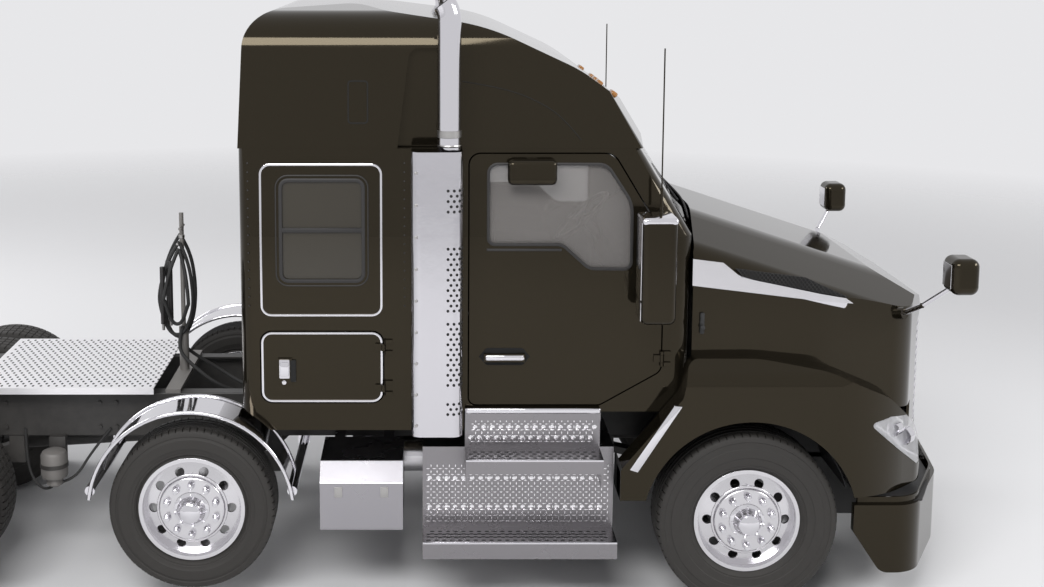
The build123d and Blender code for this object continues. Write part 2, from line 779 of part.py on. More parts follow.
def bumper():
    """Wrapped bumper skin with a set-back top band, an air opening, brackets and hood hinges."""
    shell = bumper_solid(0)
    band = bumper_solid(0) - bumper_solid(24)
    shell -= band & block(3000, 4400, -1300, 1300, bumper_top - bumper_band, bumper_top + 1)
    inner = bumper_solid(24 + bumper_wall)
    shell -= Pos(0, 0, -200) * inner
    shell -= inner
    shell -= Pos(0, 0, 200) * inner
    shell -= along([(-430, 330, 30), (430, 330, 30), (380, 500, 30), (-380, 500, 30)], 3800, 4300)
    shell -= block(3300, 3500, -1130, 1130, 200, 1000)
    for side in sides.values():
        y = side * rail_seat_y
        arm = block(rail_front_x, front_x - 60, y - 32, y + 32, 530, 600) & bumper_solid(20)
        arm += block(rail_front_x + fit_gap, rail_front_x + 50, y - 32, y + 32, 530, 990)
        shell += arm
        arm_y = side * (hood_lug_y - 30)
        hinge = across([
            (hood_pivot_x - 150, 540, 0),
            (hood_pivot_x - 90, 540, 0),
            (hood_pivot_x + 14, hood_pivot_z - 14, 14),
            (hood_pivot_x + 14, hood_pivot_z + 14, 13),
            (hood_pivot_x - 16, hood_pivot_z + 14, 13),
        ], arm_y - 12, arm_y + 12)
        foot = block(hood_pivot_x - 150, hood_pivot_x - 90, arm_y - side * 12, y, 535, 590)
        shell += hinge + foot
        shell += rod((hood_pivot_x, arm_y, hood_pivot_z), (hood_pivot_x, arm_y + side * 45, hood_pivot_z), 9)
    return shell


def mudflaps():
    """Rear flaps on arms from the last crossmember."""
    arm = rod((rear_x + 90, rail_half_width, 960), (rear_x + 90, 1220, 960), 20)
    flap = block(rear_x + 84, rear_x + 94, 620, 1220, 260, 941)
    arm += block(rear_x + 82, rear_x + 98, 620, 1220, 935, 961)
    body = arm + flap
    return group(body, mirrored(body))


def hose_tender():
    """Post behind the sleeper that holds the trailer hoses up, on a foot across the rails."""
    x = -485
    post = rod((x, 0, 1100), (x, 0, 2050), 14)
    post += rod((x, 0, 1040), (x, 0, 1320), 30)
    foot = block(x - 45, x + 45, -rail_half_width, rail_half_width, rail_top, rail_top + 22)
    cross = rod((x, -70, 1960), (x, 70, 1960), 9)
    return post + foot + cross


# Cab and sleeper

def body_section(inset, z_from, z_to):
    """Front outline shared by cab and sleeper: upright sides that lean in above the belt."""
    low = cab_half_width - inset
    high = cab_top_half_width - inset
    lean = (low - high) / (body_seam_z - belt_z)
    top = low - lean * (z_to - belt_z)
    return [(-low, z_from, 0), (low, z_from, 0), (low, belt_z, 0), (top, z_to, 0), (-top, z_to, 0), (-low, belt_z, 0)]


def cab_plan(inset, rear=cab_rear_x - 400):
    """Plan outline of the cab at the belt: flat sides, rounded corners and a bowed front."""
    half = cab_half_width - inset
    corner = cab_corner_x - inset
    front = cab_front_x - inset
    return [(rear, -half, 0), (corner, -half, 90), (front, -330, 900),
            (front, 330, 900), (corner, half, 90), (rear, half, 0)]


def slanted(inset, z_to, rear=cab_rear_x - 400):
    """The cab's plan drawn up along the slope of the windscreen."""
    face = Plane.XY.offset(belt_z) * rounded_face(cab_plan(inset, rear))
    rise = z_to - belt_z
    length = rise * math.sqrt(1 + screen_slope ** 2)
    return extrude(face, amount=length, dir=(-screen_slope, 0, 1))


def cab_body(inset, z_from=cab_floor_z, z_to=body_seam_z, rear=cab_rear_x):
    """Solid envelope of the cab, inset from its outer skin."""
    lower = upright(cab_plan(inset), z_from, belt_z)
    form = lower + slanted(inset, z_to)
    form = form & along(body_section(inset, z_from, z_to), rear, cab_front_x + 50)
    return form


def sleeper_body(inset, z_from=sleeper_skirt_z, z_to=body_seam_z, front=cab_rear_x - fit_gap):
    """Solid envelope of the sleeper, inset from its outer skin."""
    form = along(body_section(inset, z_from, z_to), sleeper_rear_x + inset, front)
    half = cab_half_width - inset
    rear = sleeper_rear_x + inset
    plan = upright([(rear, -half, 80), (front, -half, 0), (front, half, 0), (rear, half, 80)], z_from, z_to)
    return form & plan


def door_outline():
    """Side outline of a door, its front edge following the windscreen pillar."""
    top_front = door_front_x - screen_slope * (door_top_z - belt_z)
    return [(door_rear_x, door_bottom_z, 40), (2022, door_bottom_z, 60), (door_front_x, door_bottom_z + 195, 60),
            (door_front_x, belt_z, 150), (top_front, door_top_z, 90), (door_rear_x, door_top_z, 60)]


def door_window():
    """Side outline of the door glass, its sill dropped towards the front."""
    return [(1385, 2058, 45), (1800, 2058, 70), (1950, 1922, 90), (2195, 1918, 50),
            (2195, 2300, 200), (2050, 2522, 90), (1385, 2522, 60)]


def grown(corners, amount):
    """An outline moved outwards by an amount, or inwards if it is negative."""
    return offset(rounded_face(corners), amount=amount)


def through_side(face, side, y_from=850, y_to=1300):
    """A side outline drawn out through one side of the vehicle."""
    start = y_from if side > 0 else -y_to
    placed_face = Plane.XZ.offset(-start) * face
    return extrude(placed_face, amount=y_to - y_from, dir=(0, 1, 0))


def through_front(face, x_from, x_to):
    """A front outline drawn out along the vehicle."""
    return extrude(Plane.YZ.offset(x_from) * face, amount=x_to - x_from, dir=(1, 0, 0))


def hinge_fixed(x, z, side):
    """Fixed half of a side hinge: two knuckles on a leaf ahead of the door, and the pin."""
    y = side * hinge_y
    half = Pos(x, y, z) * Cylinder(6, 84)
    for level in [z - 32, z + 32]:
        half += Pos(x, y, level) * Cylinder(12, 20)
        half += block(x, x + 50, side * (cab_half_width - 1), side * (hinge_y + 2), level - 10, level + 10)
    return half


def hinge_moving(x, z, side):
    """Moving half of a side hinge: a sleeve on a leaf on the door."""
    y = side * hinge_y
    half = Pos(x, y, z) * Cylinder(12, 40)
    half += block(x - 46, x, side * (cab_half_width - 1), side * (hinge_y + 2), z - 20, z + 20)
    return half - Pos(x, y, z) * Cylinder(6 + pin_gap, 90)


def cab_shell():
    """Cab with its floor, front wall, pillars and rails, open to the sleeper and the roof."""
    shell = cab_body(0) - cab_body(wall, cab_floor_z + floor_thickness, body_seam_z, cab_rear_x - 1)
    shell -= through_front(rounded_face(screen_outline), 2050, 2700)
    for side in sides.values():
        shell -= through_side(grown(door_outline(), panel_gap), side)
        for z in door_hinge_z:
            shell += hinge_fixed(door_front_x + panel_gap / 2, z, side)
    return shell


def sleeper_shell():
    """Sleeper with floor, rear wall and skirted sides, windows and luggage openings cut."""
    outer = sleeper_body(0)
    shell = outer - sleeper_body(wall, sleeper_floor_z + floor_thickness, body_seam_z, cab_rear_x)
    shell -= sleeper_body(wall, sleeper_skirt_z, sleeper_floor_z, cab_rear_x)
    shell -= block(sleeper_rear_x - 1, cab_rear_x, -900, 900, sleeper_skirt_z - 1, sleeper_floor_z)
    fender_room = pusher_fender_radius + 32
    for side in sides.values():
        shell -= rod((pusher_x, side * 870, pusher_z), (pusher_x, side * 1300, pusher_z), fender_room)
        for z in luggage_hinge_z:
            shell += hinge_fixed(luggage_outline[1][0] + panel_gap / 2, z, side)
    for side in sides.values():
        shell -= through_side(rounded_face(sleeper_window), side)
        shell -= through_side(grown(luggage_outline, panel_gap), side)
    return shell


def cap_body(inset):
    """Solid envelope of the raised roof, blended down over the cab to the windscreen."""
    z_from = body_seam_z + fit_gap
    side = across([
        (sleeper_rear_x + inset, z_from, 0),
        (sleeper_rear_x + 36 + inset, 3345 - inset, 210),
        (640, roof_top_z - inset, 900),
        (1384, 3268 - inset, 1200),
        (1895 - inset * 0.5, 3030 - inset, 700),
        (2215 - inset * 0.8, 2800 - inset * 0.5, 260),
        (2345 - inset, z_from, 0),
    ], -1100, 1100)
    low = cab_top_half_width - inset
    high = 978 - inset
    section = along([(-low, z_from, 0), (low, z_from, 0), (high, 3335 - inset, 240), (0, 3384 - inset, 4000),
                     (-high, 3335 - inset, 240)], 0, 2500)
    return side & section & slanted(inset - 18, 3700, sleeper_rear_x - 100)


def stack_recess(grow):
    """Hollow in each side of the roof, where the stack passes."""
    pocket = across([(890 - grow, body_seam_z - 10, 0), (1240 + grow, body_seam_z - 10, 0),
                     (1240 + grow, 3150 + grow, 60), (960 - grow, 3150 + grow, 60)], 955 - grow, 1200)
    return pocket + mirrored(pocket)


def roof_cap():
    """Roof moulding over sleeper and cab, hollow from below."""
    outer = cap_body(0) - stack_recess(0)
    inner = cap_body(wall) - stack_recess(wall)
    inner += block(sleeper_rear_x + wall, 2180, -cab_top_half_width + wall + 60, cab_top_half_width - wall - 60,
                   body_seam_z - 5, body_seam_z + 40)
    return outer - inner


def fixed_glass():
    """Windscreen and the two sleeper windows."""
    skin = cab_body(12, cab_floor_z + 1, body_seam_z - 1) - cab_body(12 + glass_thickness, cab_floor_z, body_seam_z)
    screen = skin & through_front(grown(screen_outline, -1), 2100, 2700)
    panes = [screen]
    for side in sides.values():
        pane = sleeper_body(12) - sleeper_body(12 + glass_thickness, sleeper_skirt_z, body_seam_z)
        panes.append(pane & through_side(grown(sleeper_window, -1), side))
    return group(*panes)


def door(side):
    """Door with its window opening and pull handle."""
    skin = cab_body(0, cab_floor_z, body_seam_z) - cab_body(door_thickness, cab_floor_z - 1, body_seam_z, 1200)
    panel = skin & through_side(rounded_face(door_outline()), side, 960)
    panel -= through_side(rounded_face(door_window()), side)
    y = side * cab_half_width
    handle = block(1372, 1600, y - side * 2, y + side * 34, 1406, 1452)
    handle -= block(1412, 1560, y + side * 12, y - side * 1, 1400, 1460)
    for z in door_hinge_z:
        panel += hinge_moving(door_front_x + panel_gap / 2, z, side)
    return panel + handle


def door_glass(side):
    """Glass of a door, set in the window opening."""
    skin = cab_body(20) - cab_body(20 + glass_thickness, cab_floor_z - 1, body_seam_z + 1, 1200)
    return skin & through_side(grown(door_window(), -1), side, 960)


def mirror_head(side):
    """Main mirror on two arms from the door, with the aerial on its top."""
    head = Pos(2290, side * 1285, 1984) * Box(190, 215, 580)
    head = fillet(head.edges(), 38)
    for z in [1790, 2055]:
        head += rod((2262, side * (cab_half_width + 5), z), (2290, side * 1200, z), 17)
        head += block(2225, 2300, side * (cab_half_width + fit_gap), side * (cab_half_width + 16), z - 45, z + 45)
    head += rod((2315, side * 1240, 2265), (2315, side * 1240, 3165), 4)
    head += rod((2315, side * 1240, 2265), (2315, side * 1240, 2420), 8)
    if side < 0:
        lookdown = Pos(1630, side * 1100, 2480) * Box(270, 80, 140)
        lookdown = fillet(lookdown.edges(), 30)
        lookdown += block(1600, 1660, side * 1031.6, side * 1075, 2530, 2550)
        return group(head, lookdown)
    return head


def luggage_door(side):
    """Lower side door of the sleeper with its paddle handle."""
    skin = sleeper_body(0) - sleeper_body(40, sleeper_skirt_z - 1, body_seam_z + 1, cab_rear_x + 1)
    panel = skin & through_side(rounded_face(luggage_outline), side)
    y = side * cab_half_width
    panel += block(222, 300, y - side * 2, y + side * 12, 1275, 1420)
    for z in luggage_hinge_z:
        panel += hinge_moving(luggage_outline[1][0] + panel_gap / 2, z, side)
    return panel


def dashboard():
    """Instrument panel across the cab with the steering column."""
    panel = across([(2230, 1560, 60), (2190, 1890, 70), (2330, 1985, 80), (2480, 2060, 20), (2480, 1560, 0)],
                   -975, 975)
    panel = panel & cab_body(wall + fit_gap, cab_floor_z + floor_thickness, body_seam_z)
    column = rod(column_foot, wheel_hub_base, 30)
    leg = block(2300, 2470, -160, 160, cab_floor_z + floor_thickness, 1561)
    return panel + column + leg


def steering_wheel():
    """Steering wheel with hub and four spokes, square to its column."""
    ring = Torus(215, 15)
    wheel = ring + Cylinder(48, 2 * wheel_hub_half)
    for turn in [25, 155, 205, 335]:
        tip_x = 212 * math.cos(math.radians(turn))
        tip_y = 212 * math.sin(math.radians(turn))
        wheel += rod((30 * tip_x / 212, 30 * tip_y / 212, 0), (tip_x, tip_y, 0), 9)
    plane = Plane(origin=(steering_hub_x, driver_y, steering_hub_z), x_dir=(0, 1, 0),
                  z_dir=(-column_x, 0, -column_z))
    return plane * wheel


def seats():
    """Two high-backed seats on pedestals."""
    floor = cab_floor_z + floor_thickness
    shapes = []
    for side in sides.values():
        y = side * driver_y
        seat = block(1510, 1860, y - 170, y + 170, floor, 1461)
        cushion = Pos(1700, y, 1530) * Box(540, 500, 140)
        back = across([(1350, 1500, 30), (1480, 1500, 30), (1420, 2330, 50), (1320, 2330, 40)], y - 235, y + 235)
        shapes.append(seat + fillet(cushion.edges(), 40) + back)
    return group(*shapes)


def bunk():
    """Bunk platform on a front panel, over the luggage space."""
    half = cab_half_width - wall - fit_gap
    rear = sleeper_rear_x + wall + 85
    body = block(rear, 780, -half, half, 1600, 1640)
    body += block(750, 780, -half, half, sleeper_floor_z + floor_thickness, 1601)
    return body


def mattress():
    """Bunk mattress."""
    half = cab_half_width - wall - 20
    cushion = block(sleeper_rear_x + wall + 90, 770, -half, half, 1640 + fit_gap, 1790)
    return fillet(cushion.edges(), 35)


# Hood

def hood_body(inset, bottom=nose_bottom_z):
    """Solid envelope of the hood's centre, falling and narrowing towards a bowed nose."""
    half = 1046 - inset
    nose = nose_x - inset
    face = rounded_face([(-half, 300, 0), (half, 300, 0), (half, 2075 - inset, 150), (560, 2232 - inset, 500),
                         (-560, 2232 - inset, 500), (-half, 2075 - inset, 150)])
    shape = extrude(Plane.YZ.offset(2420) * face, amount=2000, dir=(1, 0, -0.33))
    plan = upright([
        (2420, -half, 0),
        (3250, -1030 + inset, 900),
        (3800 - inset, -905 + inset, 200),
        (nose, -150, 650),
        (nose, 150, 650),
        (3800 - inset, 905 - inset, 200),
        (3250, 1030 - inset, 900),
        (2420, half, 0),
    ], bottom, 2300)
    side = across([
        (2420, bottom, 0),
        (nose, bottom, 0),
        (nose - 8, 1420, 500),
        (nose - 60, 1600 - inset * 0.5, 160),
        (3600, 1858 - inset, 700),
        (2420, 2300 - inset, 0),
    ], -1100, 1100)
    return shape & plan & side


def fender_body(inset, bottom=fender_bottom_z, flap=fender_flap_z):
    """Solid envelope of one front fender, on the right side."""
    side = across([
        (2125 + inset, flap, 0),
        (2125 + inset, 830 - inset * 0.4, 40),
        (2465 + inset, 1240, 60),
        (2500 + inset, 1440 - inset, 70),
        (2900, 1440 - inset, 900),
        (3290, 1380 - inset, 500),
        (3620, 1225 - inset, 320),
        (3850 - inset, 1000 - inset * 0.5, 220),
        (3905 - inset, bottom, 0),
        (3430, bottom, 0),
        (3430, flap, 0),
    ], -1300, -500)
    plan = upright([
        (2100, -600, 0),
        (2100, -fender_half_width + inset, 0),
        (3560, -fender_half_width + inset, 600),
        (3880 - inset * 0.7, -930 + inset * 0.7, 230),
        (3990 - inset, -600, 0),
    ], flap - 10, 1500)
    section = along([(-fender_half_width + inset, flap - 10, 0), (-600, flap - 10, 0), (-600, 1480 - inset, 0),
                     (-1090, 1480 - inset, 90), (-fender_half_width + inset, 1350 - inset, 110)], 2100, 4000)
    return side & plan & section


def cab_clearance():
    """Space kept free round the cab's front."""
    return upright(cab_plan(-hood_gap), cab_floor_z - hood_gap, 2400)


def hood_shell():
    """Hood and fenders in one skin, open below and behind, with the openings cut."""
    outer_fender = fender_body(0)
    inner_fender = fender_body(hood_wall, fender_bottom_z - 1, fender_flap_z - 1)
    outer = hood_body(0) + outer_fender + mirrored(outer_fender)
    inner = hood_body(hood_wall, nose_bottom_z - 1) + inner_fender + mirrored(inner_fender)
    shell = outer - inner
    shell -= cab_clearance()
    shell -= block(2100, cab_corner_x + hood_gap, -cab_half_width - hood_gap, cab_half_width + hood_gap, 500, 2400)
    for side in sides.values():
        shell -= rod((steer_x, side * 1060, tyre_radius), (steer_x, side * 1300, tyre_radius), arch_radius)
        shell -= through_side(rounded_face(headlight_outline), side, 700)
        shell -= through_side(rounded_face(intake_outline), side, 700)
        y = side * hood_lug_y
        lug = across([
            (hood_pivot_x - 17, hood_pivot_z - 17, 16),
            (hood_pivot_x + 17, hood_pivot_z - 17, 16),
            (nose_x - 4, 760, 0),
            (nose_x - 4, 790, 0),
            (hood_pivot_x - 17, 770, 0),
        ], y - 10, y + 10) & hood_body(4)
        lug -= rod((hood_pivot_x, y - 20, hood_pivot_z), (hood_pivot_x, y + 20, hood_pivot_z), 9 + pin_gap)
        shell += lug
    shell -= through_front(rounded_face(grille_outline), 3900, 4300)
    return shell


def grille():
    """Framed front grille with level bars, and a louvred intake in each side of the hood."""
    skin = hood_body(1) - hood_body(16, nose_bottom_z - 1)
    frame = grown(grille_outline, -fit_gap) - grown(grille_outline, -28)
    pattern = through_front(frame, 3900, 4300)
    pitch = (grille_top_z - grille_bottom_z) / bar_count
    for index in range(1, bar_count):
        z = grille_bottom_z + index * pitch
        pattern += through_front(grown(grille_outline, -20), 3900, 4300) & block(3900, 4300, -600, 600, z - 7, z + 7)
    shapes = [skin & pattern]
    for side in sides.values():
        panel = hood_body(4) - hood_body(12, nose_bottom_z - 1)
        shapes.append(panel & through_side(grown(intake_outline, -fit_gap), side, 700))
    return group(*shapes)


def headlights():
    """Headlight units, flush with the fender's front corner."""
    unit = fender_body(3) - fender_body(60, fender_bottom_z - 1, fender_flap_z - 1)
    unit = unit & through_side(grown(headlight_outline, -1), -1, 700)
    return group(unit, mirrored(unit))


def hood_mirrors():
    """Round-cornered mirrors on bent arms at the hood's front corners."""
    head = Pos(3945, -1240, 1940) * Box(150, 190, 200)
    head = fillet(head.edges(), 45)
    head += rod((3925, -1215, 1880), (3800, -1080, 1730), 13)
    head += rod((3800, -1080, 1730), (3730, -928, 1640), 15)
    head += Pos(3800, -1080, 1730) * Sphere(16)
    head += rod((3700, -900, 1640), (3745, -960, 1655), 34)
    return head - hood_body(-fit_gap)


os.makedirs("parts", exist_ok=True)

wheels = [
    ("steer", steer_x, steer_y, tyre_radius, single_rim, lambda: tyre(tyre_radius, tyre_half_width)),
    ("pusher", pusher_x, pusher_y, pusher_z, single_rim, lambda: tyre(pusher_tyre_radius, pusher_tyre_half_width)),
    ("drive_front", drive_x[0], dual_y, tyre_radius, dual_rims, dual_tyres),
    ("drive_rear", drive_x[1], dual_y, tyre_radius, dual_rims, dual_tyres),
]
for name, x, y, z, make_rim, make_tyre in wheels:
    rim_shape = make_rim()
    tyre_shape = make_tyre()
    for side_name, side in sides.items():
        save(f"{name}_rim_{side_name}", placed(rim_shape, side, x, y, z))
        save(f"{name}_tyre_{side_name}", placed(tyre_shape, side, x, y, z))

for side_name, side in sides.items():
    save(f"knuckle_{side_name}", knuckle(side))
    save(f"door_{side_name}", door(side))
    save(f"door_glass_{side_name}", door_glass(side))
    save(f"door_mirror_{side_name}", mirror_head(side))
    save(f"luggage_door_{side_name}", luggage_door(side))

save("frame_rails", frame_rails())
save("fifth_wheel_plate", fifth_wheel())
save("front_suspension", front_suspension())
save("pusher_suspension", pusher_suspension())
save("drive_axles", group(drive_axle(drive_x[0]), drive_axle(drive_x[1])))
save("driveshaft", driveshaft())
save("engine", engine())
save("radiator", radiator())
save("tie_rod", tie_rod())
save("air_tanks", air_tanks())
save("rear_deck", deck())
save("pusher_fenders", pusher_fenders())
save("cab_steps", cab_steps())
save("side_boxes", side_boxes())
save("exhaust_stacks", exhaust())
save("heat_shields", heat_shields())
save("bumper", bumper())
save("mudflaps", mudflaps())
save("hose_tender", hose_tender())
save("cab_shell", cab_shell())
save("sleeper_shell", sleeper_shell())
save("roof_cap", roof_cap())
save("fixed_glass", fixed_glass())
save("dashboard", dashboard())
save("steering_wheel", steering_wheel())
save("seats", seats())
save("bunk", bunk())
save("mattress", mattress())
save("hood_shell", hood_shell())
save("grille", grille())
save("headlights", headlights())
right_hood_mirror = hood_mirrors()
save("hood_mirrors", group(right_hood_mirror, mirrored(right_hood_mirror)))
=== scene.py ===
import math
from collections import namedtuple

import bmesh
import bpy
from bpy.props import FloatProperty, FloatVectorProperty, IntProperty, PointerProperty
from bpy.types import Operator, Panel, PropertyGroup
from mathutils import Matrix, Vector


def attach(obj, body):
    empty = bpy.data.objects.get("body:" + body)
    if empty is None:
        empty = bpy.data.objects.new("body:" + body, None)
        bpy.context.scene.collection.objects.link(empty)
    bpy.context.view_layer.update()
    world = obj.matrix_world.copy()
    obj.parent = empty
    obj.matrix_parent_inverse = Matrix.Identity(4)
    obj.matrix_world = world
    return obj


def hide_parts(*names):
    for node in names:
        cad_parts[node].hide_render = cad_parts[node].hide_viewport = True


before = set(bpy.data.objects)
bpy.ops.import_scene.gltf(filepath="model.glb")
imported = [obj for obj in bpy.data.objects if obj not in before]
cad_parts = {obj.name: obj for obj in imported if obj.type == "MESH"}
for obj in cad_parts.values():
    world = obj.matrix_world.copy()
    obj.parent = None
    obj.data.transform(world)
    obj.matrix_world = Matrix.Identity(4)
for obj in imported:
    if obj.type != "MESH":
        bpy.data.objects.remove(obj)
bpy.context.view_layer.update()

# Dresses the four-axle tractor unit: finishes for its solids, and the tread, trim, lamps, tread plate, hoses
# and fastenings round them. The nose points along +X, its left side is +Y, and lengths are in metres.

bl_info = {
    "name": "Tractor unit dressing",
    "version": (1, 0, 0),
    "blender": (4, 5, 0),
    "location": "View3D > Sidebar > Tractor unit",
    "description": "Builds the tyres, trim, lamps, tread plate and hoses of a highway tractor unit",
    "category": "Object",
}

SIDES = {"right": -1, "left": 1}
# The body's sides stand at SHELL_Y and lean in above the belt line, by LEAN for each metre of height.
SHELL_Y = 1.050
BELT_Z = 2.110
LEAN = 0.022 / 0.490


# Plain modelling steps

def clear():
    """Leaves edit mode and selects nothing."""
    if bpy.context.object and bpy.context.object.mode != "OBJECT":
        bpy.ops.object.mode_set(mode="OBJECT")
    bpy.ops.object.select_all(action="DESELECT")


def only(piece):
    """Selects one piece."""
    clear()
    piece.select_set(True)
    bpy.context.view_layer.objects.active = piece
    return piece


def settle(piece):
    """Moves a piece's place into its mesh."""
    only(piece)
    bpy.ops.object.transform_apply(location=True, rotation=True, scale=True)
    return piece


def select_all():
    """Selects everything of the piece being edited."""
    bpy.ops.mesh.select_all(action="SELECT")


def open_mesh(piece):
    """Starts editing with everything selected."""
    only(piece)
    bpy.ops.object.mode_set(mode="EDIT")
    bpy.ops.mesh.select_mode(type="VERT")
    select_all()


def close_mesh():
    """Ends editing."""
    bpy.ops.object.mode_set(mode="OBJECT")


def pick(piece, kind, rule):
    """Selects only those edges or faces of the piece being edited that follow a rule."""
    bpy.ops.mesh.select_mode(type=kind)
    bpy.ops.mesh.select_all(action="DESELECT")
    mesh = bmesh.from_edit_mesh(piece.data)
    for item in mesh.edges if kind == "EDGE" else mesh.faces:
        item.select = rule(item)
    bmesh.update_edit_mesh(piece.data)


def apply(piece, kind, **settings):
    """Adds a modifier, sets it and applies it."""
    only(piece)
    bpy.ops.object.modifier_add(type=kind)
    modifier = piece.modifiers[-1]
    for key, value in settings.items():
        setattr(modifier, key, value)
    bpy.ops.object.modifier_apply(modifier=modifier.name)
    return piece


def eased(piece, width, steps=2):
    """Rounds a piece's sharp edges."""
    return apply(piece, "BEVEL", width=width, segments=steps, limit_method="ANGLE",
                 angle_limit=math.radians(40))


def repeated(piece, count, step):
    """A row of copies."""
    return apply(piece, "ARRAY", count=count, use_relative_offset=False, use_constant_offset=True,
                 constant_offset_displace=step)


def on_both_sides(piece):
    """Adds the mirror image on the other side of the vehicle."""
    return apply(piece, "MIRROR", use_axis=(False, True, False), use_mirror_merge=False)


def both(parts):
    """Pieces of one side, each with its mirror image."""
    return [on_both_sides(part) for part in parts]


def block(low, high, edge=0.0, steps=2):
    """Box between two corners, its edges rounded."""
    middle = [(a + b) / 2 for a, b in zip(low, high)]
    size = [abs(b - a) for a, b in zip(low, high)]
    bpy.ops.mesh.primitive_cube_add(size=1, location=middle, scale=size)
    piece = settle(bpy.context.object)
    return eased(piece, edge, steps) if edge else piece


def bar(start, end, radius, sides=16, edge=0.0):
    """Round bar from one point to another."""
    start, end = Vector(start), Vector(end)
    turn = (end - start).to_track_quat("Z", "Y").to_euler()
    bpy.ops.mesh.primitive_cylinder_add(vertices=sides, radius=radius, depth=(end - start).length,
                                        location=(start + end) / 2, rotation=turn)
    piece = settle(bpy.context.object)
    return eased(piece, edge) if edge else piece


def path(points):
    """Wire through points, left open for editing with its last point selected."""
    bpy.ops.mesh.primitive_plane_add(size=0.01)
    piece = bpy.context.object
    open_mesh(piece)
    bpy.ops.mesh.merge(type="CENTER")
    bpy.ops.transform.translate(value=points[0])
    for here, there in zip(points, points[1:]):
        step = [b - a for a, b in zip(here, there)]
        bpy.ops.mesh.extrude_region_move(TRANSFORM_OT_translate={"value": step, "orient_type": "GLOBAL"})
    return piece


def turned(profile, centre, axis="Y", steps=48, closed=False):
    """Piece spun from a profile of (radius, place along the axis)."""
    upright, level = Vector((0, 0, 1)), Vector((0, 1, 0))
    way, out = (level, upright) if axis == "Y" else (upright, Vector((1, 0, 0)))
    points = [Vector(centre) + out * radius + way * place for radius, place in profile]
    if closed:
        points.append(points[0])
    piece = path(points)
    select_all()
    bpy.ops.mesh.spin(steps=steps, angle=2 * math.pi, center=centre, axis=way)
    select_all()
    bpy.ops.mesh.remove_doubles(threshold=0.00005)
    bpy.ops.mesh.normals_make_consistent(inside=False)
    close_mesh()
    return piece


def band(inner, outer, half, ease, centre, steps=40):
    """Upright ring round a rod, of a half height and with its outer edges eased."""
    profile = [(inner, -half), (outer, -half + ease), (outer, half - ease), (inner, half)]
    return turned(profile, centre, "Z", steps, closed=True)


def rectangle(low_u, low_v, high_u, high_v, radius):
    """Corners of a rectangle, each with the same radius."""
    corners = ((low_u, low_v), (high_u, low_v), (high_u, high_v), (low_u, high_v))
    return [(u, v, radius) for u, v in corners]


def rounded(corners, steps=6):
    """Points of an outline from corners (u, v, radius)."""
    points = []
    for index, (u, v, radius) in enumerate(corners):
        here = Vector((u, v))
        if not radius:
            points.append((u, v))
            continue
        back = (Vector(corners[index - 1][:2]) - here).normalized()
        ahead = (Vector(corners[(index + 1) % len(corners)][:2]) - here).normalized()
        half = back.angle(ahead) / 2
        centre = here + (back + ahead).normalized() * (radius / math.sin(half))
        start = (here + back * (radius / math.tan(half)) - centre).normalized()
        end = (here + ahead * (radius / math.tan(half)) - centre).normalized()
        for step in range(steps + 1):
            points.append(tuple(centre + start.slerp(end, step / steps) * radius))
    return points


def on_plane(plane, level, u, v):
    """Point (u, v) of a plane that lies across Y or Z."""
    return (u, level, v) if plane == "Y" else (u, v, level)


def drawn(outline, plane, level, depth, rim=0.0, edge=0.0):
    """Outline given a thickness, or only its rim of a given width."""
    piece = path([on_plane(plane, level, u, v) for u, v in outline])
    select_all()
    bpy.ops.mesh.edge_face_add()
    if rim:
        bpy.ops.mesh.inset(thickness=rim, use_even_offset=True)
        bpy.ops.mesh.delete(type="FACE")
        select_all()
    bpy.ops.mesh.extrude_region_move(TRANSFORM_OT_translate={"value": on_plane(plane, depth, 0, 0),
                                                             "orient_type": "GLOBAL"})
    select_all()
    bpy.ops.mesh.normals_make_consistent(inside=False)
    close_mesh()
    return eased(piece, edge) if edge else piece


def tube(points, radius, fine=3):
    """Round hose or wire on a smooth curve near its points."""
    clear()
    bpy.ops.curve.primitive_nurbs_path_add()
    hose = bpy.context.object
    hose.data.splines.clear()
    spline = hose.data.splines.new("NURBS")
    spline.points.add(len(points) - 1)
    for spot, place in zip(spline.points, points):
        spot.co = (*place, 1)
    spline.use_endpoint_u = True
    spline.order_u = 3
    spline.resolution_u = 6
    hose.data.bevel_depth = radius
    hose.data.bevel_resolution = fine
    hose.data.use_fill_caps = True
    only(hose)
    bpy.ops.object.convert(target="MESH")
    return settle(bpy.context.object)


def copied(piece, matrix):
    """Copy with its own mesh, moved by a matrix."""
    twin = piece.copy()
    twin.data = piece.data.copy()
    bpy.context.scene.collection.objects.link(twin)
    twin.data.transform(matrix)
    return twin


def ringed(piece, count, start=0.0):
    """Copies of a piece round a wheel's axis at the origin, the first one turned by an angle."""
    copies = [copied(piece, Matrix.Rotation(start + 2 * math.pi * index / count, 4, "Y"))
              for index in range(count)]
    bpy.data.objects.remove(piece)
    return copies


def leaned(piece):
    """Leans a side trim in with the body above the belt."""
    open_mesh(piece)
    bpy.ops.mesh.bisect(plane_co=(0, 0, BELT_Z), plane_no=(0, 0, 1))
    close_mesh()
    for vertex in piece.data.vertices:
        if vertex.co.z > BELT_Z:
            vertex.co.y -= math.copysign((vertex.co.z - BELT_Z) * LEAN, vertex.co.y)
    return piece


def coat(piece, finish):
    """Gives a piece one finish in place of what it has."""
    piece.data.materials.clear()
    piece.data.materials.append(FINISHES[finish])


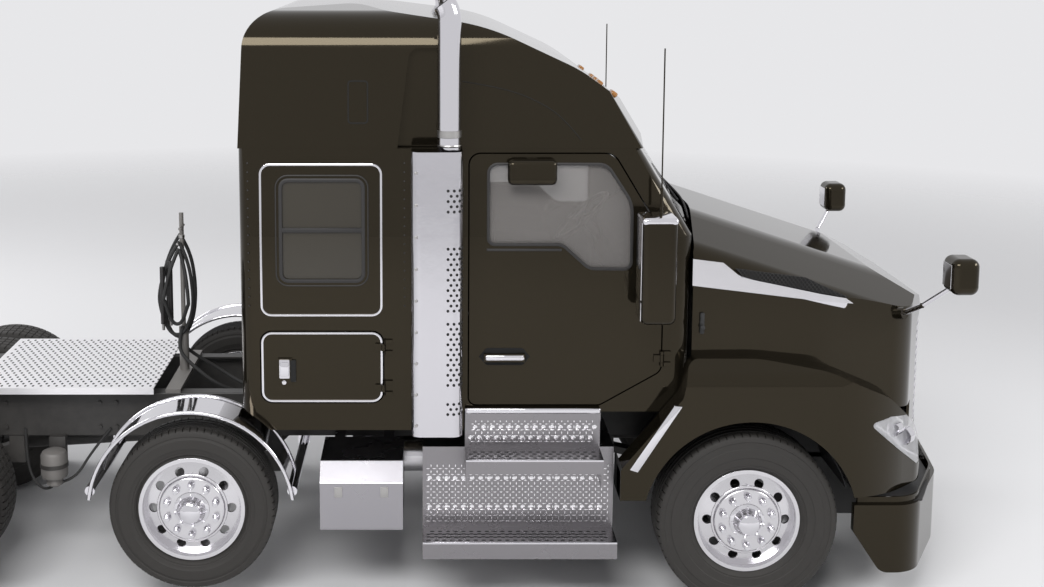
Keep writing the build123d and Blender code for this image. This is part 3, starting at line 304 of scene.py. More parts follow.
def finished(name, parts, finish, body="chassis", smooth=35, stands_for=None):
    """Joins parts to one named piece with its finish, riding on its body, in its finish's slot."""
    clear()
    for part in parts:
        part.select_set(True)
    bpy.context.view_layer.objects.active = parts[0]
    if len(parts) > 1:
        bpy.ops.object.join()
    piece = bpy.context.object
    piece.name = name
    piece.data.name = name
    bpy.ops.object.shade_smooth_by_angle(angle=math.radians(smooth))
    coat(piece, finish)
    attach(piece, body)
    if stands_for:
        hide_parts(stands_for)
    return piece


# Finishes

class Wire:
    """Socket of a material's tree, to be used in sums."""

    def __init__(self, socket):
        self.socket = socket
        self.tree = socket.id_data

    def sum(self, operation, *values):
        """One step of arithmetic."""
        return node(self.tree, "ShaderNodeMath", {"operation": operation}, dict(enumerate(values)))[0]

    def __add__(self, other):
        return self.sum("ADD", self, other)

    __radd__ = __add__

    def __mul__(self, other):
        return self.sum("MULTIPLY", self, other)

    __rmul__ = __mul__

    def __rsub__(self, other):
        return self.sum("SUBTRACT", other, self)

    def spread(self, low, high):
        """The value fitted from low..high to 0..1 and held there."""
        return node(self.tree, "ShaderNodeMapRange", {}, {0: self, 1: low, 2: high, 3: 0.0, 4: 1.0})[0]


def fill(made, values):
    """Gives a node's sockets their values, or links wires to them."""
    for key, value in values.items():
        if isinstance(value, Wire):
            value.tree.links.new(value.socket, made.inputs[key])
        else:
            made.inputs[key].default_value = value


def node(tree, kind, settings, values):
    """Any node: its settings first, then its sockets by place or name. Gives its outputs."""
    made = tree.nodes.new(kind)
    for key, value in settings.items():
        setattr(made, key, value)
    fill(made, values)
    return [Wire(output) for output in made.outputs]


def noise(tree, place, scale, detail):
    """Cloudy pattern of values from 0 to 1."""
    return node(tree, "ShaderNodeTexNoise", {}, {"Vector": place, "Scale": scale, "Detail": detail})[0]


def blended(tree, mask, one, two):
    """Colour between two colours by a mask."""
    return node(tree, "ShaderNodeMix", {"data_type": "RGBA"}, {0: mask, 6: one, 7: two})[2]


def full(colour):
    """Colour with its fourth number."""
    return (*colour[:3], 1.0)


DUST = (0.13, 0.12, 0.11)
DUST_TOP = 1.3
SLEEPER_GLASS_ALPHA = 0.96


def surface(name, colour, roughness, metal=0.0, grain=0.0, dust=0.0, bump=0.0, bump_size=60.0, alpha=1.0,
            dark_behind=None, painted_reflection_tint=(1, 1, 1)):
    """Procedural finish: a ground colour, uneven gloss, dust in the lower parts and a fine relief."""
    material = bpy.data.materials.new(name)
    material.use_nodes = True
    tree = material.node_tree
    shader = tree.nodes["Principled BSDF"]
    place = node(tree, "ShaderNodeTexCoord", {}, {})[3]
    cloud = noise(tree, place, 3.0, 4.0)
    # The tint of the reflections: where it is not white, it is painted reflection colour.
    fill(shader, {"Metallic": metal, "Specular Tint": full(painted_reflection_tint), "Alpha": alpha})
    if dark_behind is not None:
        along = node(tree, "ShaderNodeSeparateXYZ", {}, {0: place})[0]
        front = along.spread(dark_behind, dark_behind + 0.01)
        fill(shader, {"Alpha": front * (alpha - SLEEPER_GLASS_ALPHA) + SLEEPER_GLASS_ALPHA})
    ground, rough = full(colour), roughness
    if dust:
        height = node(tree, "ShaderNodeSeparateXYZ", {}, {0: place})[2]
        fine = noise(tree, place, 22.0, 6.0)
        mask = (1 - height.spread(0.0, DUST_TOP)) * (cloud * 0.6 + fine * 0.8).spread(0.35, 1.0) * dust
        ground = blended(tree, mask, ground, full(DUST))
        rough = cloud * grain + mask * 0.35 + (roughness - grain / 2)
    elif grain:
        rough = cloud * grain + (roughness - grain / 2)
    fill(shader, {"Base Color": ground, "Roughness": rough})
    if bump:
        relief = noise(tree, place, bump_size, 5.0)
        normal = node(tree, "ShaderNodeBump", {}, {"Strength": bump, "Distance": 0.002, "Height": relief})[0]
        fill(shader, {"Normal": normal})
    return material


FINISHES = {}


def mix_finishes(looks):
    """Makes every finish once."""
    FINISHES.update({
        # The paint's reflections are tinted warm brown: painted reflection colour, standing for the brown
        # surroundings it mirrors.
        "paint": surface("dark_gloss_paint", looks.paint, 0.07, grain=0.05, painted_reflection_tint=(0.74, 0.63, 0.45)),
        "chrome": surface("chrome_plate", looks.chrome, 0.07, metal=1.0, grain=0.04),
        "aluminium": surface("polished_aluminium", looks.aluminium, 0.20, metal=1.0, grain=0.12, bump=0.05,
                             bump_size=180.0),
        "sheet": surface("box_sheet", (0.36, 0.35, 0.37), 0.26, metal=1.0, grain=0.16, bump=0.08),
        "shield": surface("shield_plate", (0.60, 0.59, 0.62), 0.12, metal=1.0, grain=0.08, bump=0.35,
                          bump_size=7.0),
        # The bright metal below is used for the risers' lozenges and dimples, and the darker step plate after
        # it for the ground they stand on. Both are one tread plate: the bright is painted highlight and the
        # dark is painted shade.
        "bright": surface("painted_highlight_metal", (0.86, 0.85, 0.87), 0.22, metal=1.0, grain=0.1),
        "plate": surface("step_plate", (0.27, 0.26, 0.27), 0.28, metal=1.0, grain=0.16, bump=0.1,
                         bump_size=90.0),
        "deck": surface("deck_plate", (0.88, 0.87, 0.89), 0.34, metal=0.6, grain=0.16, bump=0.1,
                        bump_size=90.0),
        "frame": surface("frame_satin", (0.022, 0.021, 0.020), 0.45, grain=0.15, dust=0.6, bump=0.12),
        "cast": surface("oily_casting", (0.05, 0.047, 0.044), 0.55, metal=0.3, grain=0.2, dust=0.5, bump=0.4),
        "cast_grey": surface("grey_casting", (0.20, 0.19, 0.18), 0.5, metal=0.2, grain=0.15, dust=0.2,
                             bump=0.1),
        "steel": surface("bare_steel", (0.42, 0.41, 0.40), 0.35, metal=1.0, grain=0.2, bump=0.1),
        "tyre": surface("tyre_rubber", looks.tyre, 0.70, grain=0.1, dust=0.08, bump=0.2, bump_size=140.0),
        "rubber": surface("matt_rubber", (0.018, 0.018, 0.018), 0.7, grain=0.1, dust=0.2),
        "black": surface("black_moulding", (0.014, 0.013, 0.013), 0.48, grain=0.1, bump=0.15, bump_size=300),
        # Near-black matt finish for holes, slots, bores, pockets, gaps and the ground behind meshes: painted
        # shade, standing for the dark seen into them.
        "hollow": surface("painted_shade_black", (0.006, 0.006, 0.006), 0.9, bump=0.05),
        "interior": surface("cab_trim", (0.075, 0.070, 0.067), 0.6, grain=0.1, bump=0.04, bump_size=240.0),
        "fabric": surface("seat_cloth", (0.10, 0.095, 0.09), 0.9, bump=0.1, bump_size=400.0),
        "glass": surface("tinted_glass", (0.24, 0.225, 0.215), 0.02, grain=0.01, alpha=0.40),
        "screen": surface("cab_and_sleeper_glass", (0.035, 0.030, 0.021), 0.03, grain=0.01, alpha=0.22,
                          dark_behind=1.1),
        "lens": surface("clear_lens", (0.72, 0.72, 0.74), 0.04, grain=0.02, alpha=0.42),
        "amber": surface("amber_lens", (0.34, 0.15, 0.04), 0.12, grain=0.05),
        "red": surface("red_lens", (0.36, 0.02, 0.015), 0.12, grain=0.05),
    })


CAD_FINISHES = {
    "paint": ["cab_shell", "sleeper_shell", "roof_cap", "hood_shell", "door_left", "door_right",
              "luggage_door_left", "luggage_door_right", "bumper", "hood_mirrors", "door_mirror_left",
              "door_mirror_right"],
    "chrome": ["exhaust_stacks", "grille", "pusher_fenders"],
    "shield": ["heat_shields"],
    "sheet": ["side_boxes"],
    "aluminium": ["air_tanks"],
    "plate": ["cab_steps"],
    "deck": ["rear_deck"],
    "frame": ["frame_rails", "pusher_suspension", "front_suspension", "driveshaft", "tie_rod", "radiator",
              "knuckle_left", "knuckle_right"],
    "cast_grey": ["hose_tender"],
    "cast": ["drive_axles", "engine", "fifth_wheel_plate"],
    "black": ["steering_wheel"],
    "rubber": ["mudflaps"],
    "glass": ["door_glass_left", "door_glass_right"],
    "screen": ["fixed_glass"],
    "lens": ["headlights"],
    "interior": ["dashboard", "bunk"],
    "fabric": ["seats", "mattress"],
}


def paint_solids():
    """Gives every solid of the frame its finish, rims and tyres by their names."""
    finishes = {name: finish for finish, names in CAD_FINISHES.items() for name in names}
    for name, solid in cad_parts.items():
        coat(solid, finishes.get(name, "aluminium" if "_rim_" in name else "tyre"))


# Wheels

# Each axle's left wheel: its middle, the tyre's radius and half width, the spacing of twin tyres, and how far
# the face that carries the nuts stands outside the middle.
Axle = namedtuple("Axle", "x y z radius half twin face")
AXLES = {
    "steer": Axle(2.850, 1.035, 0.506, 0.506, 0.146, 0.0, 0.112),
    "pusher": Axle(-0.260, 1.060, 0.584, 0.464, 0.132, 0.0, 0.112),
    "drive_front": Axle(-1.900, 0.9205, 0.506, 0.506, 0.146, 0.343, 0.014),
    "drive_rear": Axle(-3.220, 0.9205, 0.506, 0.506, 0.146, 0.343, 0.014),
}


def wheel_place(axle, side):
    """Matrix from a wheel drawn at the origin, its outer side towards +Y, to its place."""
    turn = Matrix.Rotation(math.pi if side < 0 else 0.0, 4, "Z")
    return Matrix.Translation((axle.x, side * axle.y, axle.z)) @ turn


def from_axis(vertex):
    """How far a vertex of a wheel at the origin lies from its axis."""
    return Vector((vertex.co.x, vertex.co.z)).length


TREAD_SHARE = 0.80


def tyre_profile(axle, deep):
    """Closed profile of a tyre: a moulded wall, the crown with its grooves, and the other wall."""
    radius, half = axle.radius, axle.half
    tread = half * TREAD_SHARE
    widest = radius * 0.5 + 0.149
    flank = [(0.2853, -0.1097), (0.301, -0.1097), (0.309, -half * 0.80), (0.322, -half * 0.925),
             (0.330, -half * 0.925), (0.334, -half * 0.955), (widest - 0.028, -half * 0.975),
             (widest - 0.024, -half * 0.995), (widest, -half), (widest + 0.026, -half * 0.99),
             (widest + 0.030, -half * 0.965), (radius - 0.042, -half * 0.945),
             (radius - 0.038, -half * 0.965), (radius - 0.024, -half * 0.950),
             (radius - 0.012, -half * 0.905), (radius - 0.004, -half * 0.84)]
    crown = [(radius, -tread + 0.006)]
    for groove in (-0.5, 0.0, 0.5) if axle.twin else (-0.55, -0.18, 0.18, 0.55):
        at = groove * tread
        crown += [(radius, at - 0.007), (radius - deep, at - 0.004), (radius - deep, at + 0.004),
                  (radius, at + 0.007)]
    crown.append((radius, tread - 0.006))
    return flank + crown + [(r, -y) for r, y in reversed(flank)]


def one_tyre(axle, looks):
    """Tyre at the origin, its tread cut across: only at the shoulders, or all over on the driven wheels."""
    tread_floor = axle.radius - 0.014
    cut_from = 0.0 if axle.twin else axle.half * TREAD_SHARE * 0.50
    profile = tyre_profile(axle, looks.tread_depth)
    tyre = turned(profile, (0, 0, 0), steps=looks.tread_pitches, closed=True)

    def on_tread(line):
        across = abs(line.verts[0].co.y - line.verts[1].co.y) > 0.004
        outer = max(abs(v.co.y) for v in line.verts) > cut_from
        return min(from_axis(v) for v in line.verts) > tread_floor and across and outer

    def narrow(face):
        angles = [math.atan2(v.co.x, v.co.z) for v in face.verts]
        sweep = max(angles) - min(angles)
        high = all(from_axis(v) > tread_floor for v in face.verts)
        return high and (sweep < 0.02 or sweep > 2 * math.pi - 0.02)

    open_mesh(tyre)
    pick(tyre, "EDGE", on_tread)
    bpy.ops.mesh.bevel(offset=0.0032, segments=1, affect="EDGES")
    pick(tyre, "FACE", narrow)
    bpy.ops.mesh.inset(thickness=0.0002, depth=-looks.tread_depth * 0.7)
    close_mesh()
    return tyre


def build_tyres(looks):
    """Tyres of all wheels, standing for the plain ones."""
    for name, axle in AXLES.items():
        tyre = one_tyre(axle, looks)
        offsets = (axle.twin / 2, -axle.twin / 2) if axle.twin else (0.0,)
        for side_name, side in SIDES.items():
            place = wheel_place(axle, side)
            parts = [copied(tyre, place @ Matrix.Translation((0, offset, 0))) for offset in offsets]
            finished(f"{name}_tyre_moulded_{side_name}", parts, "tyre", f"{name}_wheel_{side_name}",
                     smooth=30, stands_for=f"{name}_tyre_{side_name}")
        bpy.data.objects.remove(tyre)


STUD_CIRCLE = 0.1429
NUT_PROFILE = [(0.0, 0.0), (0.0215, 0.0), (0.0215, 0.006), (0.0185, 0.010), (0.0180, 0.034), (0.0150, 0.044),
               (0.0080, 0.049), (0.0, 0.050)]


def hub_parts(axle):
    """Nut covers, hub cap with its screws and valve of a wheel at the origin."""
    face = axle.face
    nut = turned(NUT_PROFILE, (0, face, STUD_CIRCLE), steps=12)
    parts = ringed(nut, 10, start=math.radians(108))
    cap = [(0.094, face + 0.004), (0.096, face + 0.012), (0.088, face + 0.016), (0.080, face + 0.018),
           (0.078, face + 0.008)]
    parts.append(turned(cap, (0, 0, 0), closed=True))
    parts += ringed(bar((0, face + 0.008, 0.086), (0, face + 0.022, 0.086), 0.006, 6), 8)
    if not axle.twin:
        top = face + 0.062
        dome = [(0.060, top - 0.006), (0.056, top + 0.006), (0.040, top + 0.016), (0.018, top + 0.021),
                (0.0, top + 0.022)]
        parts.append(turned(dome, (0, 0, 0), steps=36))
    parts.append(bar((0.0, face - 0.02, 0.205), (0.0, face + 0.02, 0.214), 0.004, 8))
    return parts


def build_wheel_trim():
    """Bright parts round the hubs of all wheels."""
    for name, axle in AXLES.items():
        parts = hub_parts(axle)
        for side_name, side in SIDES.items():
            placed = [copied(part, wheel_place(axle, side)) for part in parts]
            finished(f"{name}_hub_trim_{side_name}", placed, "chrome", f"{name}_wheel_{side_name}")
        for part in parts:
            bpy.data.objects.remove(part)


# Sides of cab and sleeper

RING = rectangle(0.129, 1.660, 0.808, 2.518, 0.060)
LOWER_RING = rectangle(0.129, 1.166, 0.808, 1.570, 0.060)
SLEEPER_WINDOW = (0.247, 1.862, 0.701, 2.423)
WINDOW_RADIUS = 0.040
DOOR_WINDOW = [(1.385, 2.058, 0.045), (1.800, 2.058, 0.070), (1.950, 1.922, 0.090), (2.195, 1.918, 0.050),
               (2.195, 2.300, 0.200), (2.050, 2.522, 0.090), (1.385, 2.522, 0.060)]
HANDLE_DISH = [(1.345, 1.429, 0.0), (1.385, 1.478, 0.03), (1.590, 1.478, 0.03), (1.630, 1.429, 0.0),
               (1.590, 1.380, 0.03), (1.385, 1.380, 0.03)]


def trim_sleeper(side_name, side, width):
    """Bright frame and seals round the sleeper's window."""
    y = side * SHELL_Y
    ring = leaned(drawn(rounded(RING), "Y", y - side * 0.002, side * 0.009, rim=width, edge=0.003))
    finished(f"sleeper_trim_{side_name}", [ring], "chrome")
    low_x, low_z, high_x, high_z = SLEEPER_WINDOW
    seals = []
    for out, rim in ((0.012, 0.020), (0.032, 0.008)):
        outline = rectangle(low_x - out, low_z - out, high_x + out, high_z + out, WINDOW_RADIUS + out)
        seal = drawn(rounded(outline), "Y", y - side * 0.010, side * 0.014, rim=rim, edge=0.003)
        seals.append(leaned(seal))
    seals.append(block((low_x, y - side * 0.018, 2.134), (high_x, y + side * 0.001, 2.158), 0.003))
    finished(f"sleeper_window_seal_{side_name}", seals, "black")


def trim_luggage_door(side_name, side, width):
    """Bright frame, latch and lock of the luggage door."""
    y = side * SHELL_Y
    ring = drawn(rounded(LOWER_RING), "Y", y - side * 0.002, side * 0.009, rim=width, edge=0.003)
    latch = block((0.228, y, 1.305), (0.288, y + side * 0.020, 1.416), 0.006)
    paddle = block((0.236, y + side * 0.010, 1.320), (0.282, y + side * 0.026, 1.402), 0.006)
    lock = bar((0.256, y, 1.284), (0.256, y + side * 0.020, 1.284), 0.013, 16, 0.002)
    finished(f"luggage_trim_{side_name}", [ring, latch, paddle, lock], "chrome", f"luggage_door_{side_name}")


def trim_door(side_name, side):
    """Window seal and handle of a door."""
    y = side * SHELL_Y
    body = f"door_{side_name}"
    seal = leaned(drawn(rounded(DOOR_WINDOW), "Y", y - side * 0.012, side * 0.015, rim=0.016, edge=0.003))
    run = block((1.385, y - side * 0.004, 2.030), (1.80, y + side * 0.004, 2.044), 0.002)
    finished(f"door_window_seal_{side_name}", [seal, run], "black", body)
    grip = block((1.378, y + side * 0.002, 1.412), (1.594, y + side * 0.038, 1.446), 0.010, 3)
    key = bar((1.586, y + side * 0.036, 1.429), (1.586, y + side * 0.040, 1.429), 0.010, 16, 0.001)
    finished(f"door_handle_{side_name}", [grip, key], "chrome", body)
    # The dish behind the handle is near-black: painted shade in its recess.
    dish = drawn(rounded(HANDLE_DISH), "Y", y - side * 0.001, side * 0.004)
    finished(f"door_handle_dish_{side_name}", [dish], "hollow", body)


def luggage_pocket(side_name, side):
    """Pocket beside the latch of the luggage door, near-black as painted shade in its recess."""
    y = side * SHELL_Y
    pocket = block((0.290, y, 1.285), (0.322, y + side * 0.014, 1.410), 0.004)
    finished(f"luggage_pocket_{side_name}", [pocket], "hollow", f"luggage_door_{side_name}")


def build_side_trim(looks):
    """Frames, seals and handles on the sides of cab and sleeper."""
    for side_name, side in SIDES.items():
        trim_sleeper(side_name, side, looks.trim_width)
        trim_luggage_door(side_name, side, looks.trim_width)
        trim_door(side_name, side)
        luggage_pocket(side_name, side)


def build_mirrors():
    """Bright caps and glasses of the mirrors, and the look-down mirror's cover on the right door."""
    for side_name, side in SIDES.items():
        body = f"door_{side_name}"
        caps = [block((2.193, side * 1.1755, 2.238), (2.387, side * 1.3922, 2.2775), 0.018, 4)]
        for z in (1.790, 2.055):
            caps.append(bar((2.262, side * 1.060, z), (2.290, side * 1.185, z), 0.0185))
        if side < 0:
            caps.append(block((1.497, -1.139, 2.420), (1.763, -1.066, 2.548), 0.028, 4))
        finished(f"mirror_caps_{side_name}", caps, "chrome", body)
        glass = [block((2.193, side * 1.200, low), (2.197, side * 1.370, high), 0.001)
                 for low, high in ((1.830, 2.250), (1.715, 1.815))]
        finished(f"mirror_glass_{side_name}", glass, "chrome", body)
    pane = block((3.8675, -1.300, 1.875), (3.8715, -1.180, 2.005), 0.001)
    finished("hood_mirror_glass", both([pane]), "chrome", "hood")
    bend = (3.800, -1.080, 1.730)
    sleeves = [bar((3.905, -1.194, 1.856), bend, 0.0140), bar(bend, (3.745, -0.960, 1.659), 0.0162)]
    finished("hood_mirror_sleeves", both(sleeves), "chrome", "hood")


# Hood, grille and lamps

HOOD_TURN_X = 3.250
INTAKE_PLATE = [(2.529, 1.985), (2.698, 1.963), (2.800, 1.879), (3.400, 1.750), (3.446, 1.717),
                (2.529, 1.834)]
INTAKE_MESH = [(2.765, 1.930), (3.160, 1.877), (3.420, 1.752), (2.812, 1.881)]
FENDER_STRIP = [(2.174, 0.835), (2.219, 0.820), (2.459, 1.198), (2.413, 1.202)]


def hood_side(x):
    """How far from the middle the hood's side lies at a place along the vehicle."""
    if x < HOOD_TURN_X:
        return 1.046 - 0.016 * (x - 2.42) / 0.83
    return 1.030 - 0.125 * (x - HOOD_TURN_X) / 0.55


def wrapped(piece, out):
    """Lays a piece that was drawn at Y = 0 on the hood's right side, with an edge where that side turns."""
    open_mesh(piece)
    bpy.ops.mesh.bisect(plane_co=(HOOD_TURN_X, 0, 0), plane_no=(1, 0, 0))
    close_mesh()
    for vertex in piece.data.vertices:
        vertex.co.y -= hood_side(vertex.co.x) + out
    return piece


def mesh_wires(outline, pitch, radius):
    """Slanting wires in two directions inside an outline on the plane Y = 0."""
    wires = []
    us = [u for u, _ in outline]
    middle_v, margin = 1.85, 0.3
    for lean in (0.8, -0.8):
        start = min(us) - margin
        while start < max(us) + margin:
            cuts = []
            for (u1, v1), (u2, v2) in zip(outline, outline[1:] + outline[:1]):
                one = (u1 - start) - (v1 - middle_v) * lean
                two = (u2 - start) - (v2 - middle_v) * lean
                if one * two < 0:
                    share = one / (one - two)
                    cuts.append((u1 + (u2 - u1) * share, v1 + (v2 - v1) * share))
            if len(cuts) == 2 and math.dist(*cuts) > 0.01:
                (u1, v1), (u2, v2) = cuts
                wires.append(bar((u1, 0, v1), (u2, 0, v2), radius, 5))
            start += pitch
    return wires


def build_intakes():
    """Bright plate, dark ground and mesh of the hood's side intakes; the dark ground is painted shade behind
    the mesh.
    """
    plate = wrapped(drawn(INTAKE_PLATE, "Y", -0.005, 0.009), 0.0)
    finished("intake_plates", both([plate]), "aluminium", "hood")
    back = wrapped(drawn(INTAKE_MESH, "Y", -0.003, 0.006), 0.0)
    finished("intake_backs", both([back]), "hollow", "hood")
    wires = [wrapped(wire, 0.006) for wire in mesh_wires(INTAKE_MESH, 0.022, 0.0018)]
    finished("intake_mesh", both(wires), "black", "hood")


def build_hood_trim():
    """Strip behind each fender, its flap, and the hood's latches."""
    strip = drawn(FENDER_STRIP, "Y", -1.2345, 0.016, edge=0.004)
    finished("fender_strips", both([strip]), "chrome", "hood")
    flap = block((2.125, -1.222, 0.650), (2.137, -0.960, 0.840), 0.003)
    finished("fender_flaps", both([flap]), "rubber", "hood")
    latch = block((2.575, -1.062, 1.560), (2.600, -1.040, 1.680), 0.006)
    clip = bar((2.588, -1.062, 1.600), (2.588, -1.074, 1.600), 0.014, 16, 0.002)
    finished("hood_latches", both([latch, clip]), "rubber", "hood")


FILLER_PLAN = [(3.505, 0.0), (3.505, -1.128), (3.760, -1.128), (3.850, -1.090), (3.960, -0.860),
               (4.030, -0.620), (4.070, -0.300), (4.075, 0.0)]


def arch(radius):
    """Points of an arc over the steered wheel, from front to rear."""
    axle = AXLES["steer"]
    angles = [math.radians(15) + math.radians(150) * step / 40 for step in range(41)]
    return [(axle.x + radius * math.cos(angle), axle.z + radius * math.sin(angle)) for angle in angles]


def build_wheel_houses():
    """Black inner fenders over the steered wheels, and sheets that close the view behind the bumper."""
    outer, inner, low, high = 0.600, 0.596, 0.545, 1.055
    roof = drawn(arch(outer) + arch(inner)[::-1], "Y", -high, high - low)
    wall = drawn(arch(outer), "Y", -low - 0.002, 0.004)
    front = block((3.080, -low - 0.002, 0.300), (3.470, -low + 0.002, 0.690))
    finished("inner_fenders", both([roof, wall, front]), "black", "hood")
    filler = drawn(FILLER_PLAN, "Z", 0.602, 0.012)
    splash = block((3.420, -0.534, 0.300), (3.660, -0.530, 0.604))
    finished("bumper_filler", both([filler, splash]), "black")


def lens_side(x):
    """How far from the middle the head lamp's lens lies at a place along the vehicle."""
    return 1.133 - 0.79 * (x - 3.64) if x < 3.76 else 1.037 - 0.97 * (x - 3.76)


def in_lamp(profile, x, z, depth, steps):
    """Round piece behind the right head lamp's lens, looking forwards and out, and its mirror image."""
    piece = turned(profile, (0, 0, 0), "Y", steps)
    piece.data.transform(Matrix.Translation((x, depth - lens_side(x), z)) @ Matrix.Rotation(math.pi, 4, "Z")
                         @ Matrix.Rotation(math.radians(-45), 4, "Z"))
    return on_both_sides(piece)


def build_head_lamps():
    """Reflectors, bulbs and a bright strip in the head lamps."""
    bowls, bulbs = [], []
    for x, z, radius in ((3.660, 1.025, 0.034), (3.735, 0.965, 0.046)):
        rim = radius + 0.005
        bowl = [(0.0, -0.045), (radius * 0.5, -0.038), (radius, 0.0), (rim, 0.0), (rim, -0.048),
                (0.0, -0.050)]
        bulb = [(0.0, 0.0), (0.007, -0.002), (0.010, -0.030), (0.0, -0.032)]
        bowls.append(in_lamp(bowl, x, z, 0.008, 28))
        bulbs.append(in_lamp(bulb, x, z, 0.014, 16))
    spine = [(3.540, 1.072), (3.640, 1.000), (3.720, 0.905), (3.800, 0.850), (3.860, 0.810)]
    strip = tube([(x, 0.010 - lens_side(max(x, 3.58)), z) for x, z in spine], 0.007)
    finished("lamp_reflectors", bowls + both([strip]), "chrome", "hood")
    finished("lamp_bulbs", bulbs, "lens", "hood")


def build_roof_lamps():
    """Five lamps on the slope over the windscreen."""
    lamps = []
    tilt = Matrix.Rotation(math.radians(35.7), 4, "Y")
    for y in (-0.86, -0.20, 0.0, 0.20, 0.86):
        lamp = block((-0.020, -0.050, -0.012), (0.020, 0.050, 0.016), 0.009, 3)
        lamp.data.transform(Matrix.Translation((2.092, y, 2.886)) @ tilt)
        lamps.append(lamp)
    finished("roof_lamps", lamps, "amber")


def build_rear_lamps():
    """Bar under the frame's end plate, with two lamps on each side."""
    bracket = block((-4.140, -0.400, 0.620), (-4.134, 0.400, 0.757), 0.002)
    finished("rear_lamp_bar", [bracket], "frame")
    lamps = [bar((-4.149, -y, 0.682), (-4.138, -y, 0.682), 0.050, 32, 0.003) for y in (0.33, 0.21)]
    finished("rear_lamps", both(lamps), "red")


ROOF_SEAM = [(1.246, 2.968), (1.467, 2.934), (1.653, 2.866), (1.806, 2.770), (1.902, 2.646)]


def roof_side(z):
    """How far from the middle the roof's side lies at a height."""
    return 1.0203 - (z - 2.736) * 0.0683


def build_roof_trim():
    """Outlined vent and seam in each side of the roof, the outline and seam near-black as painted shade in
    the gap and the crease, and the rows of rivets on the sleeper's sides.
    """
    vent = rounded(rectangle(0.619, 2.736, 0.732, 2.973, 0.020))
    edge = drawn(vent, "Y", 0.0, 0.004, rim=0.007, edge=0.001)
    field = drawn(rounded(rectangle(0.632, 2.749, 0.719, 2.960, 0.012)), "Y", 0.0, 0.003)
    for piece in (edge, field):
        for vertex in piece.data.vertices:
            vertex.co.y -= roof_side(vertex.co.z)
    seam = tube([(x, -roof_side(z), z) for x, z in ROOF_SEAM], 0.0022, 2)
    finished("roof_vent_edges", both([edge, seam]), "hollow")
    finished("roof_vents", both([field]), "paint")
    rivets = []
    for x in (0.066, 0.930):
        rivet = repeated(bar((x, -1.049, 1.72), (x, -1.0525, 1.72), 0.0045, 8), 17, (0, 0, 0.050))
        rivets.append(leaned(rivet))
    finished("sleeper_rivets", both(rivets), "black")


SKY = (0.93, 0.93, 0.95, 1)
LIGHTS = [("key", (-2.0, -10.0, 9.5), 8.0, 1120), ("side", (10.5, -4.0, 6.0), 5.0, 450),
          ("rear", (-9.0, 6.0, 7.0), 6.0, 450)]
CAMERA_SPOT = (1.0587, -8.80, 3.692)
SENSOR_WIDTH = 36.0
FOCAL_PIXELS = 1428.8
PHOTO_PIXELS = 1044


def build_floor(looks):
    """Pale floor that fades out far from the vehicle."""
    bpy.ops.mesh.primitive_plane_add(size=120, location=(0, 20, -0.001))
    floor = settle(bpy.context.object)
    floor.name = "floor"
    pale = bpy.data.materials.new("pale_floor")
    pale.use_nodes = True
    tree = pale.node_tree
    place = node(tree, "ShaderNodeTexCoord", {}, {})[3]
    reach = node(tree, "ShaderNodeVectorMath", {"operation": "LENGTH"}, {0: place})[1]
    fill(tree.nodes["Principled BSDF"],
         {"Base Color": full(looks.floor), "Roughness": 0.9, "Alpha": 1 - reach.spread(9.0, 18.0)})
    floor.data.materials.append(pale)


def build_world():
    """Pale surroundings, brighter where they are seen, mirrored or looked at through glass."""
    world = bpy.data.worlds.new("studio")
    bpy.context.scene.world = world
    world.use_nodes = True
    tree = world.node_tree
    ambient = tree.nodes["Background"]
    fill(ambient, {"Color": SKY, "Strength": 0.50})
    seen = node(tree, "ShaderNodeBackground", {}, {"Color": SKY, "Strength": 0.86})[0]
    rays = tree.nodes.new("ShaderNodeLightPath").outputs
    direct = Wire(rays["Is Camera Ray"]) + Wire(rays["Is Glossy Ray"])
    direct = direct + Wire(rays["Is Transmission Ray"])
    dim = Wire(ambient.outputs[0])
    mixed = node(tree, "ShaderNodeMixShader", {}, {0: direct, 1: dim, 2: seen})[0]
    fill(tree.nodes["World Output"], {"Surface": mixed})


def build_lights():
    """Three broad lamps, each aimed at the vehicle's middle."""
    for name, place, size, power in LIGHTS:
        bpy.ops.object.light_add(type="AREA", location=place)
        lamp = bpy.context.object
        lamp.name = name
        lamp.data.shape = "RECTANGLE"
        lamp.data.size = size
        lamp.data.size_y = size * 0.5
        lamp.data.energy = power
        lamp.rotation_euler = (Vector((0.6, 0, 1.2)) - lamp.location).to_track_quat("-Z", "Y").to_euler()


def build_camera():
    """The photo's camera, its place and focal length fitted to the wheels and edges."""
    bpy.ops.object.camera_add(location=CAMERA_SPOT, rotation=(math.radians(90 - 8), 0, 0))
    camera = bpy.context.object
    camera.data.sensor_width = SENSOR_WIDTH
    camera.data.lens = SENSOR_WIDTH * FOCAL_PIXELS / PHOTO_PIXELS
    camera.data.shift_x = 0.0903
    camera.data.shift_y = -0.1388
    bpy.context.scene.camera = camera
    bpy.context.scene.view_settings.view_transform = "Standard"


# Steps, boxes, deck and fenders

